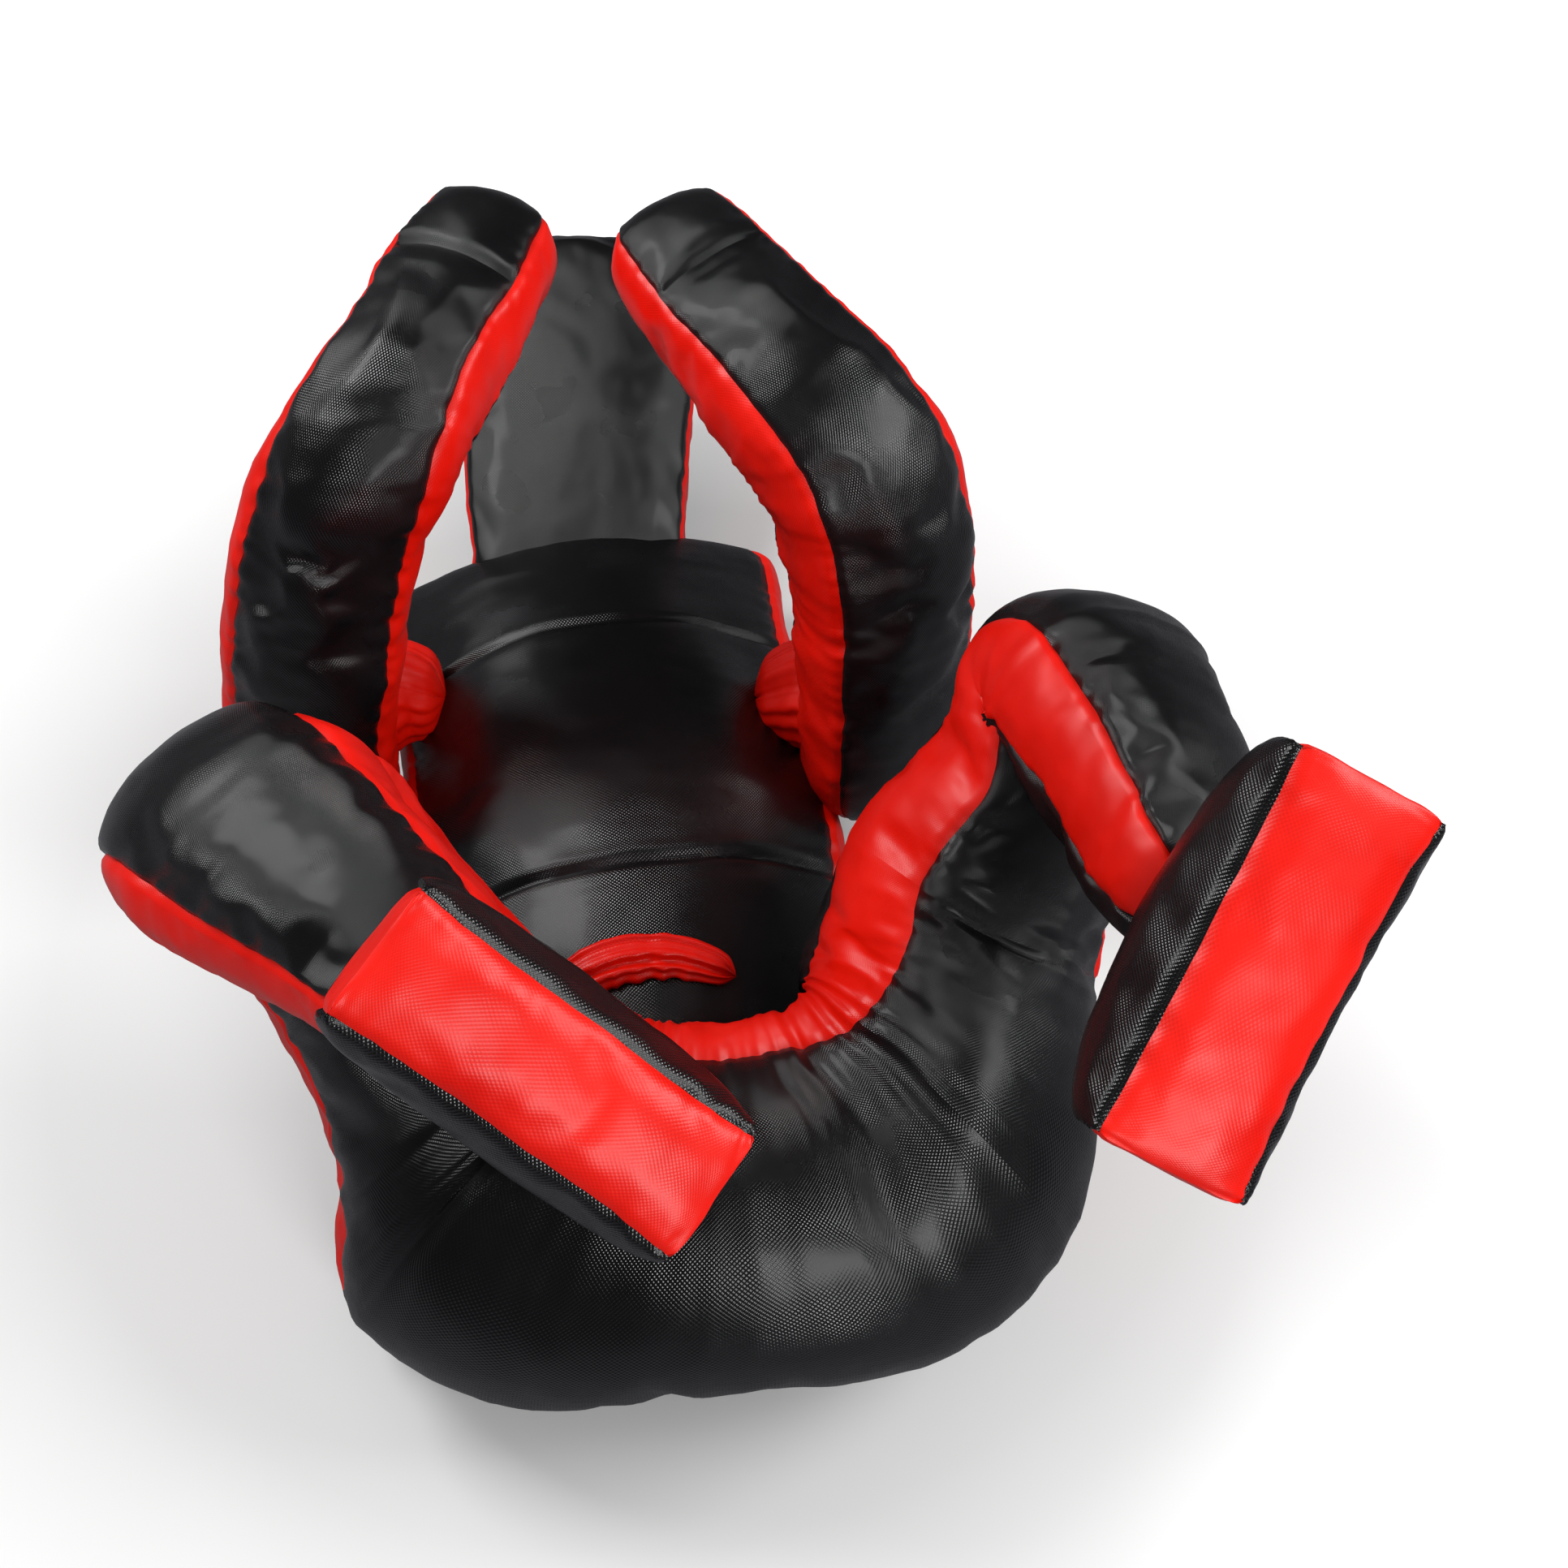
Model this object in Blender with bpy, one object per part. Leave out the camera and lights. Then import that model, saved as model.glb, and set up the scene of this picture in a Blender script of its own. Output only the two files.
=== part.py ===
"""Grappling dummy: a stuffed vinyl figure lying on its back, knees drawn up and arms closed over the head.

Metres, +Z up, head towards +Y. The origin is on the floor under the middle of the back.
Every limb is a stuffing with thin sewn panels round it, and turns on a hinge at its joint.
"""

import math
from dataclasses import dataclass

import bmesh
import bpy
from mathutils import Matrix, Vector

# Skin and clearances
SKIN = 0.0016
SKIN_GAP = 0.0008
SEAM_GAP = 0.0008
JOINT_GAP = 0.0004
BED_GAP = 0.0008
REST_FLAT = 0.0005

# Torso
TORSO_X = -0.0155
TORSO_FOOT_Y = -0.195
TORSO_LENGTH = 0.495
TORSO_WAIST_HALF_WIDTH = 0.140
TORSO_CHEST_HALF_WIDTH = 0.163
TORSO_TOP_HALF_WIDTH = 0.170
TORSO_WAIST_THICKNESS = 0.160
TORSO_CHEST_THICKNESS = 0.182
NECK_RADIUS = 0.062
YOKE_SEAM_Y = 0.205
WAIST_SEAM_Y = -0.045

# Head
HEAD_LENGTH = 0.362
HEAD_NECK_HALF_WIDTH = 0.096
HEAD_TOP_HALF_WIDTH = 0.120
HEAD_CORNER_RADIUS = 0.040
HEAD_HALF_THICKNESS = 0.038
HEAD_CROWN = 0.014
HEAD_RISE_DEG = 21.0
HEAD_LEAN_DEG = 7.0

# Seat
SEAT_RADIUS = 0.130
SEAT_HALF_WIDTH = 0.252
SEAT_Y = -0.290
SEAT_TURN_DEG = -2.0
CROTCH_HALF_WIDTH = 0.085
CROTCH_FROM_STEP = -1
CROTCH_TO_STEP = 7
SEAT_PANEL_TO_STEP = 25
HIP_GUSSET_RADIUS = 0.013
HIP_GUSSET_HALF_WIDTH = 0.068
HIP_GUSSET_Y = -0.115
HIP_GUSSET_DROP = 0.018

# Arms
SHOULDER_HALF_SPAN = 0.232
SHOULDER_Y = 0.100
SHOULDER_Z = 0.120
SHOULDER_TURN_DEG = -7.5
UPPER_ARM_LENGTH = 0.285
FOREARM_LENGTH = 0.175
HAND_LENGTH = 0.085
SHOULDER_HALF_WIDTH = 0.055
ARM_HALF_WIDTH = 0.069
ELBOW_HALF_WIDTH = 0.066
WRIST_HALF_WIDTH = 0.056
HAND_TIP_HALF_WIDTH = 0.044
SHOULDER_THICKNESS = 0.096
ARM_THICKNESS = 0.106
ELBOW_THICKNESS = 0.096
FOREARM_THICKNESS = 0.100
WRIST_THICKNESS = 0.084
HAND_TIP_THICKNESS = 0.060
ARMPIT_RADIUS = 0.052
ARMPIT_DEPTH = 0.034
ARMPIT_RINGS = (0.3, 0.65, 1.0)
ARMPIT_PLEATS = 10
ARMPIT_PLEAT_DEPTH = 0.003

# Legs
HIP_HALF_SPAN = 0.160
THIGH_LENGTH = 0.362
SHIN_LENGTH = 0.245
THIGH_ROOT_HALF_WIDTH = 0.100
THIGH_HALF_WIDTH = 0.080
KNEE_HALF_WIDTH = 0.072
SHIN_HALF_WIDTH = 0.072
THIGH_THICKNESS = 0.130
KNEE_THICKNESS = 0.104
SHIN_THICKNESS = 0.106
ANKLE_RADIUS = 0.042
FOOT_LENGTH = 0.230
FOOT_DEPTH = 0.085
FOOT_HALF_WIDTH = 0.041
FOOT_CROWN = 0.008
SOLE_TURN_UP = 0.028
ANKLE_SINK = 0.006

# How far each bent joint closes beyond the modelled pose, in degrees
ELBOW_CLOSE_DEG = 10.0
KNEE_CLOSE_DEG = 6.0

# Pose of each limb: compass angle from +Y towards +X, then height angle, in degrees
POSE = {
    "right": {
        "upper_arm": (-5.0, 78.0),
        "forearm": (-30.0, 13.0),
        "thigh": (30.0, 47.5),
        "shin": (169.5, 9.8),
        "sole": (178.8, 50.5),
        "toe": (44.8, 34.0),
    },
    "left": {
        "upper_arm": (60.0, 72.0),
        "forearm": (34.0, 14.0),
        "thigh": (-24.4, 49.0),
        "shin": (146.4, 4.8),
        "sole": (161.5, 49.8),
        "toe": (-49.0, 20.5),
    },
}
ANKLE_OFFSET = {"right": 0.020, "left": 0.045}
ARM_INNER = {"right": 1, "left": -1}
LEG_INNER = {"right": -1, "left": 1}
OUTWARD = {"right": 1, "left": -1}

# Section and mesh fineness
FACE_CROWN_SHARE = 0.30
SIDE_CROWN_SHARE = 0.14
ROUND_CROWN_SHARE = 1.0 - math.sqrt(0.5)
FACE_STEPS = 4
SIDE_STEPS = 3
LENGTH_STEPS = 4
TORSO_STEPS = 7
ROUND_END_DEG = (22.0, 46.0, 68.0, 86.0)
PAD_RINGS = (1.0, 0.88, 0.6, 0.25)
TURN_STEPS = 32
SEAT_STEPS = 12
CORNER_STEPS = 4
REACH = 0.4

# Colours and finish
BLACK = (0.012, 0.012, 0.014, 1.0)
RED = (0.78, 0.018, 0.008, 1.0)
STUFFING = (0.62, 0.60, 0.56, 1.0)
VINYL_ROUGHNESS = 0.38
STUFFING_ROUGHNESS = 0.95
SHARP_DEG = 40.0

FRONT, MINUS, BACK, PLUS = range(4)


def direction(angles):
    """Unit vector from a compass angle and a height angle in degrees."""
    compass, height = (math.radians(angle) for angle in angles)
    flat = math.cos(height)
    return Vector((math.sin(compass) * flat, math.cos(compass) * flat, math.sin(height)))


def square_to(vector, along):
    """Part of a vector that is square to a direction, at unit length."""
    along = along.normalized()
    return (vector - vector.dot(along) * along).normalized()


def frame(origin, along, front):
    """Matrix at origin with Z along the limb and Y as near to front as that allows."""
    z = along.normalized()
    y = square_to(front, z)
    turn = Matrix((y.cross(z), y, z)).transposed().to_4x4()
    return Matrix.Translation(origin) @ turn


def clear_scene():
    """Remove every object that the file starts with."""
    for item in list(bpy.data.objects):
        bpy.data.objects.remove(item, do_unlink=True)


def make_material(name, colour, roughness):
    """Principled material of one colour and roughness."""
    material = bpy.data.materials.new(name)
    material.use_nodes = True
    shader = material.node_tree.nodes["Principled BSDF"]
    shader.inputs["Base Color"].default_value = colour
    shader.inputs["Roughness"].default_value = roughness
    shader.inputs["Metallic"].default_value = 0.0
    return material


def make_joint(name, matrix):
    """Empty that carries the pieces of one body, with its X axis on the hinge."""
    joint = bpy.data.objects.new(name, None)
    bpy.context.collection.objects.link(joint)
    joint.matrix_world = matrix
    return joint


def make_object(name, shape, joint, kind):
    """Object from a bmesh, carried by its joint, with its own material unless it is a cutter."""
    bmesh.ops.recalc_face_normals(shape, faces=shape.faces)
    mesh = bpy.data.meshes.new(name)
    shape.to_mesh(mesh)
    shape.free()
    mesh.shade_smooth()
    mesh.set_sharp_from_angle(angle=math.radians(SHARP_DEG))
    item = bpy.data.objects.new(name, mesh)
    bpy.context.collection.objects.link(item)
    item.parent = joint
    if kind == "cutter":
        item.hide_render = True
        item.display_type = "WIRE"
        return item
    colour, roughness = {
        "black": (BLACK, VINYL_ROUGHNESS),
        "red": (RED, VINYL_ROUGHNESS),
        "stuffing": (STUFFING, STUFFING_ROUGHNESS),
    }[kind]
    mesh.materials.append(make_material(name + "_finish", colour, roughness))
    return item


def cut(items, *cutters):
    """Take each cutter away from each object with a live Boolean."""
    for item in items:
        for cutter in cutters:
            boolean = item.modifiers.new(cutter.name, "BOOLEAN")
            boolean.operation = "DIFFERENCE"
            boolean.solver = "EXACT"
            boolean.object = cutter


def loft(rings):
    """Closed solid through rings of equal point count, with flat ends."""
    shape = bmesh.new()
    rows = [[shape.verts.new(point) for point in ring] for ring in rings]
    count = len(rings[0])
    for low, high in zip(rows, rows[1:]):
        for j in range(count):
            k = (j + 1) % count
            shape.faces.new((low[j], low[k], high[k], high[j]))
    shape.faces.new(rows[0])
    shape.faces.new(rows[-1])
    return shape


def shell(outer, inner):
    """Closed thin panel between two grids of points of the same size."""
    shape = bmesh.new()
    tops = [[shape.verts.new(point) for point in row] for row in outer]
    bases = [[shape.verts.new(point) for point in row] for row in inner]
    rows, columns = len(outer), len(outer[0])
    for grid in (tops, bases):
        for i in range(rows - 1):
            for j in range(columns - 1):
                shape.faces.new((grid[i][j], grid[i][j + 1], grid[i + 1][j + 1], grid[i + 1][j]))
    rim = [(0, j) for j in range(columns)]
    rim += [(i, columns - 1) for i in range(1, rows)]
    rim += [(rows - 1, j) for j in reversed(range(columns - 1))]
    rim += [(i, 0) for i in reversed(range(1, rows - 1))]
    for (i, j), (m, n) in zip(rim, rim[1:] + rim[:1]):
        shape.faces.new((tops[i][j], tops[m][n], bases[m][n], bases[i][j]))
    return shape


def block(low, high):
    """Rectangular block between two corners."""
    shape = bmesh.new()
    bmesh.ops.create_cube(shape, size=1.0)
    size = Vector(high) - Vector(low)
    middle = (Vector(high) + Vector(low)) / 2.0
    bmesh.ops.scale(shape, vec=size, verts=shape.verts)
    bmesh.ops.translate(shape, vec=middle, verts=shape.verts)
    return shape


def turned(radius_at, stations, steps=TURN_STEPS):
    """Solid turned about the X axis, from a radius at each station along X."""
    turns = [math.tau * k / steps for k in range(steps)]
    rings = []
    for x in stations:
        radius = radius_at(x)
        rings.append([(x, radius * math.cos(t), radius * math.sin(t)) for t in turns])
    return loft(rings)


def drum(radius, half_width):
    """Cylinder on the X axis whose flats, not its corners, stand at the radius."""
    corner = radius / math.cos(math.pi / TURN_STEPS)
    return turned(lambda x: corner, (-half_width, half_width))


def ball(radius):
    """Sphere whose flats stand outside the radius."""
    shape = bmesh.new()
    spread = 1.0 / math.cos(math.pi / TURN_STEPS) ** 2
    bmesh.ops.create_uvsphere(shape, u_segments=TURN_STEPS, v_segments=TURN_STEPS // 2, radius=radius * spread)
    return shape


@dataclass
class Limb:
    """One stuffed segment: sections along Z, hinge along X, front along Y. Sizes are half sizes."""

    length: float
    start: tuple
    swell: tuple
    end: tuple
    begin: float = 0.0
    steps: int = LENGTH_STEPS
    twist: float = 0.0
    flat_back: bool = False
    round_start: bool = False
    round_end: bool = False
    ball_end: bool = False

    def heights(self):
        """Heights of the sections between the two joints."""
        return [self.begin + (self.length - self.begin) * k / self.steps for k in range(self.steps + 1)]

    def swelling(self, z):
        """Half width and half thickness on the smooth curve through both ends and the middle."""
        share = z / self.length
        sizes = []
        for first, middle, last in zip(self.start, self.swell, self.end):
            bend = 2.0 * (first + last - 2.0 * middle)
            sizes.append(first + (last - first - bend) * share + bend * share * share)
        return sizes

    def size_at(self, z):
        """Half width and half thickness at a height, straight between neighbouring sections."""
        heights = self.heights()
        z = min(max(z, heights[0]), heights[-1])
        low = max(height for height in heights[:-1] if height <= z)
        high = heights[heights.index(low) + 1]
        share = (z - low) / (high - low)
        return [one + (two - one) * share for one, two in zip(self.swelling(low), self.swelling(high))]

    def reach(self, run):
        """How far the limb reaches to the front or back of its far hinge, a run back from that hinge."""
        width, thick = self.size_at(self.length - run)
        turn = abs(self.twist) * run / self.length
        return thick * math.cos(turn) + width * math.sin(turn)

    def stations(self, depth, low=None, high=None):
        """Height, half width and half thickness of each section, a depth below the outer surface."""
        found = []
        if self.round_start and low is None:
            width, radius = self.start[0] - depth, self.start[1] - depth
            for angle in reversed(ROUND_END_DEG):
                turn = math.radians(angle)
                found.append((-radius * math.sin(turn), width, radius * math.cos(turn)))
        first = self.begin if low is None else low + SEAM_GAP / 2.0
        last = self.length if high is None else high - SEAM_GAP / 2.0
        inner = [z for z in self.heights() if first + SEAM_GAP < z < last - SEAM_GAP]
        for z in [first] + inner + [last]:
            width, thick = self.size_at(z)
            found.append((z, width - depth, thick - depth))
        if self.round_end and high is None:
            width, radius = self.end[0] - depth, self.end[1] - depth
            for angle in ROUND_END_DEG:
                turn = math.radians(angle)
                narrowed = width * math.cos(turn) if self.ball_end else width
                found.append((self.length + radius * math.sin(turn), narrowed, radius * math.cos(turn)))
        return found

    def centre(self, z):
        """How far the middle line stands forward of the joint line, so that a flat back stays level."""
        return self.size_at(z)[1] - self.end[1] if self.flat_back else 0.0

    def side(self, station, side, ease=0.0):
        """Points of one side of a section from seam to seam, drawn back from both seams by ease."""
        z, width, thick = station
        roundness = min(max(2.0 * z / self.length - 1.0, 0.0), 1.0) if self.ball_end else 0.0
        face_crown = (FACE_CROWN_SHARE + (ROUND_CROWN_SHARE - FACE_CROWN_SHARE) * roundness) * thick
        side_crown = (SIDE_CROWN_SHARE + (ROUND_CROWN_SHARE - SIDE_CROWN_SHARE) * roundness) * width
        a, b = width - side_crown, thick - face_crown
        back = thick if self.flat_back else b
        back_crown = 0.0 if self.flat_back else face_crown
        first, last, crown, steps = {
            FRONT: ((a, b), (-a, b), (0.0, face_crown), FACE_STEPS),
            MINUS: ((-a, b), (-a, -back), (-side_crown, 0.0), SIDE_STEPS),
            BACK: ((-a, -back), (a, -back), (0.0, -back_crown), FACE_STEPS),
            PLUS: ((a, -back), (a, b), (side_crown, 0.0), SIDE_STEPS),
        }[side]
        first, last, crown = Vector(first), Vector(last), Vector(crown)
        margin = min(ease / (last - first).length, 0.25)
        turn = Matrix.Rotation(self.twist * min(max(z / self.length, 0.0), 1.0), 2)
        points = []
        for k in range(steps + 1):
            share = margin + (1.0 - 2.0 * margin) * k / steps
            flat = turn @ (first.lerp(last, share) + crown * 4.0 * share * (1.0 - share))
            points.append(Vector((flat.x, flat.y + self.centre(z), z)))
        return points

    def solid(self, depth):
        """Closed solid a depth below the outer surface."""
        rings = []
        for station in self.stations(depth):
            rings.append([point for side in range(4) for point in self.side(station, side)[:-1]])
        return loft(rings)

    def panel(self, *sides, low=None, high=None):
        """Thin panel over one side, or over neighbouring sides, between two heights."""
        grids = []
        for depth in (0.0, SKIN):
            rows = []
            for station in self.stations(depth, low, high):
                row = []
                for side in sides:
                    row += self.side(station, side, SEAM_GAP / 2.0)
                rows.append(row)
            grids.append(rows)
        return shell(*grids)

    def dress(self, prefix, joint, panels):
        """Stuffing and named panels of this limb. Each panel is a kind and the sides that it covers."""
        pieces = [make_object(prefix + "_fill", self.solid(SKIN + SKIN_GAP), joint, "stuffing")]
        for name, (kind, sides) in panels.items():
            pieces.append(make_object(f"{prefix}_{name}", self.panel(*sides), joint, kind))
        return pieces


def limb_panels(inner):
    """The four panels of an arm or a shin: black faces and red strips, the inner one on PLUS or MINUS."""
    inner_side, outer_side = (PLUS, MINUS) if inner > 0 else (MINUS, PLUS)
    return {
        "front": ("black", (FRONT,)),
        "back": ("black", (BACK,)),
        "inner_strip": ("red", (inner_side,)),
        "outer_strip": ("red", (outer_side,)),
    }


@dataclass
class Pad:
    """A flat stuffed pad: an outline, a thickness and crowned faces. place puts (u, v, w) in the joint's axes."""

    outline: list
    half_thickness: float
    crown: float
    place: object

    def inset(self, depth):
        """Outline moved in by a depth, each corner along the bisector of its two sides."""
        moved = []
        count = len(self.outline)
        for k in range(count):
            before, here, after = (Vector(self.outline[(k + step) % count]) for step in (-1, 0, 1))
            one, two = (here - before).normalized(), (after - here).normalized()
            normal = Vector((-one.y, one.x)) + Vector((-two.y, two.x))
            normal.normalize()
            moved.append(here + normal * depth / max(normal.dot(Vector((-one.y, one.x))), 0.5))
        return moved

    def face(self, depth, sign):
        """Rings of one crowned face, from its edge to its middle."""
        outline = self.inset(depth)
        middle = sum(outline, Vector((0.0, 0.0))) / len(outline)
        rings = []
        for share in PAD_RINGS:
            w = sign * (self.half_thickness - depth + self.crown * (1.0 - share * share))
            rings.append([self.place(*(middle + (point - middle) * share), w) for point in outline])
        return rings

    def solid(self, depth):
        """Closed solid a depth below the outer surface."""
        return loft(list(reversed(self.face(depth, -1))) + self.face(depth, 1))

    def cover(self, sign):
        """Thin panel over one face."""
        edge = self.inset(SKIN / 2.0)
        outer = self.face(0.0, sign)
        inner = self.face(SKIN, sign)
        return loft(list(reversed(outer)) + [self.at(edge, sign * (self.half_thickness - SKIN))] + inner)

    def at(self, outline, w):
        """An outline put in the joint's axes at one distance from the middle plane."""
        return [self.place(*point, w) for point in outline]

    def band(self, first, last):
        """Thin strip round part of the edge, between the two faces."""
        reach = self.half_thickness - SKIN - SEAM_GAP
        grids = []
        for depth in (0.0, SKIN):
            run = self.inset(depth)[first:last]
            grids.append([self.at(run, w) for w in (-reach, 0.0, reach)])
        return shell(*grids)


def socket(name, joint, parent, bend, close_deg):
    """Room in a child for its parent's round end, and for its parent's flank at the tightest bend."""
    round_room = make_object(name + "_round_room", drum(parent.end[1] + JOINT_GAP, REACH), joint, "cutter")
    rings = []
    for height in reversed(parent.heights()):
        run = parent.length - height
        half = parent.reach(run) + JOINT_GAP
        rings.append([(REACH, half, run), (-REACH, half, run), (-REACH, -half, run), (REACH, -half, run)])
    flank = loft(rings)
    closed = bend + math.radians(close_deg)
    flank.transform(Matrix.Rotation(math.pi - closed, 4, "X"))
    return round_room, make_object(name + "_flank_room", flank, joint, "cutter")


def seat_radius_at(x):
    """Radius of the seat cushion at a distance from its middle."""
    share = min(abs(x) / SEAT_HALF_WIDTH, 1.0)
    return SEAT_RADIUS * (1.0 - share**3.2) ** 0.42


def seat_stations(limit, steps=SEAT_STEPS):
    """Distances along the seat, closer together towards its ends."""
    return [limit * math.sin(math.pi * (k / steps - 0.5)) for k in range(steps + 1)]


def seat_band(limit, first, last, ease):
    """Thin panel round part of the seat cushion, from one turn step to another, drawn back from the last."""
    angles = [math.tau * k / TURN_STEPS for k in range(first, last + 1)]
    angles[-1] -= ease / SEAT_RADIUS
    grids = []
    for depth in (0.0, SKIN):
        rows = []
        for x in seat_stations(limit):
            radius = seat_radius_at(x) - depth
            rows.append([(x, radius * math.cos(t), radius * math.sin(t)) for t in angles])
        grids.append(rows)
    return shell(*grids)


def build_seat():
    """Seat cushion, its black panel and the red crotch gusset. Returns its axis and the room it needs."""
    turn = Matrix.Rotation(math.radians(SEAT_TURN_DEG), 4, "Z")
    axis = make_joint("seat_axis", Matrix.Translation((0.0, SEAT_Y, SEAT_RADIUS - REST_FLAT)) @ turn)
    end = SEAT_HALF_WIDTH * 0.98
    depth = SKIN + SKIN_GAP
    inside = turned(lambda x: seat_radius_at(x) - depth, seat_stations(end))
    make_object("seat_fill", inside, axis, "stuffing")
    panel = make_object("seat_panel", seat_band(end, CROTCH_TO_STEP, SEAT_PANEL_TO_STEP, 0.0), axis, "black")
    crotch = seat_band(CROTCH_HALF_WIDTH, CROTCH_FROM_STEP, CROTCH_TO_STEP, SEAM_GAP)
    make_object("crotch_gusset", crotch, axis, "red")
    floor = make_object("floor_room", block((-REACH, -2.0 * REACH, -REACH), (REACH, 0.0, 0.0)), None, "cutter")
    cut((panel,), floor)
    spread = 1.0 / math.cos(math.pi / TURN_STEPS)
    room = turned(lambda x: (seat_radius_at(x) + JOINT_GAP) * spread, seat_stations(end))
    return axis, make_object("seat_room", room, axis, "cutter")


def build_torso(seat_room):
    """Torso stuffing and panels, hollowed for the seat. Returns its limb, its frame and the room it needs."""
    origin = Vector((TORSO_X, TORSO_FOOT_Y, NECK_RADIUS))
    spine = make_joint("spine", frame(origin, Vector((0.0, 1.0, 0.0)), Vector((0.0, 0.0, 1.0))))
    limb = Limb(
        length=TORSO_LENGTH,
        start=(TORSO_WAIST_HALF_WIDTH, TORSO_WAIST_THICKNESS / 2.0),
        swell=(TORSO_CHEST_HALF_WIDTH, TORSO_CHEST_THICKNESS / 2.0),
        end=(TORSO_TOP_HALF_WIDTH, NECK_RADIUS),
        steps=TORSO_STEPS,
        flat_back=True,
        round_end=True,
    )
    waist, yoke = WAIST_SEAM_Y - TORSO_FOOT_Y, YOKE_SEAM_Y - TORSO_FOOT_Y
    panels = {
        "back_panel": ("black", (BACK,), None, None),
        "abdomen_panel": ("black", (FRONT,), None, waist),
        "chest_panel": ("black", (FRONT,), waist, yoke),
        "yoke_panel": ("black", (FRONT,), yoke, None),
        "torso_side_right": ("red", (MINUS,), None, None),
        "torso_side_left": ("red", (PLUS,), None, None),
    }
    pieces = [make_object("torso_fill", limb.solid(SKIN + SKIN_GAP), spine, "stuffing")]
    for name, (kind, sides, low, high) in panels.items():
        pieces.append(make_object(name, limb.panel(*sides, low=low, high=high), spine, kind))
    cut(pieces, seat_room)
    room = make_object("torso_room", limb.solid(-BED_GAP), spine, "cutter")
    return limb, spine, room


def build_hip_gusset(limb, torso_room):
    """Gathered red roll across the crease below the abdomen, bedded on the torso."""
    width, thick = limb.size_at(HIP_GUSSET_Y - TORSO_FOOT_Y)
    rings = []
    for k in range(9):
        share = k / 4.0 - 1.0
        x = HIP_GUSSET_HALF_WIDTH * share
        y = HIP_GUSSET_Y - HIP_GUSSET_DROP * share * share
        top = 2.0 * thick - FACE_CROWN_SHARE * thick * (x / width) ** 2
        radius = HIP_GUSSET_RADIUS * (1.0 - 0.55 * share**4)
        turns = [math.tau * j / 10 for j in range(10)]
        middle = top + 0.2 * HIP_GUSSET_RADIUS
        rings.append([(TORSO_X + x, y + radius * math.cos(t), middle + radius * math.sin(t)) for t in turns])
    gusset = make_object("hip_gusset", loft(rings), None, "red")
    cut((gusset,), torso_room)


def build_head(neck):
    """Head pad on the neck joint: stuffing, black front and back, red gusset round the edge."""
    joint = make_joint("neck", frame(neck, direction((0.0, HEAD_RISE_DEG)), Vector((0.0, 0.0, 1.0))))
    lean = Matrix.Rotation(math.radians(HEAD_LEAN_DEG), 3, "Y").inverted()
    low = NECK_RADIUS * 0.4
    corner = HEAD_CORNER_RADIUS
    right = [(HEAD_NECK_HALF_WIDTH, low), (HEAD_TOP_HALF_WIDTH - 0.006, HEAD_LENGTH * 0.55)]
    for k in range(CORNER_STEPS + 1):
        t = math.pi / 2.0 * k / CORNER_STEPS
        u = HEAD_TOP_HALF_WIDTH - corner + corner * math.cos(t)
        right.append((u, HEAD_LENGTH - corner + corner * math.sin(t)))
    outline = right + [(-u, v) for u, v in reversed(right)]
    pad = Pad(outline, HEAD_HALF_THICKNESS, HEAD_CROWN, lambda u, v, w: lean @ Vector((u, w, v)))
    pieces = [
        make_object("head_fill", pad.solid(SKIN + SKIN_GAP), joint, "stuffing"),
        make_object("head_front", pad.cover(1), joint, "black"),
        make_object("head_back", pad.cover(-1), joint, "black"),
        make_object("head_gusset", pad.band(0, len(outline)), joint, "red"),
    ]
    room = make_object("neck_room", drum(NECK_RADIUS + JOINT_GAP, REACH), joint, "cutter")
    cut(pieces, room)


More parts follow.
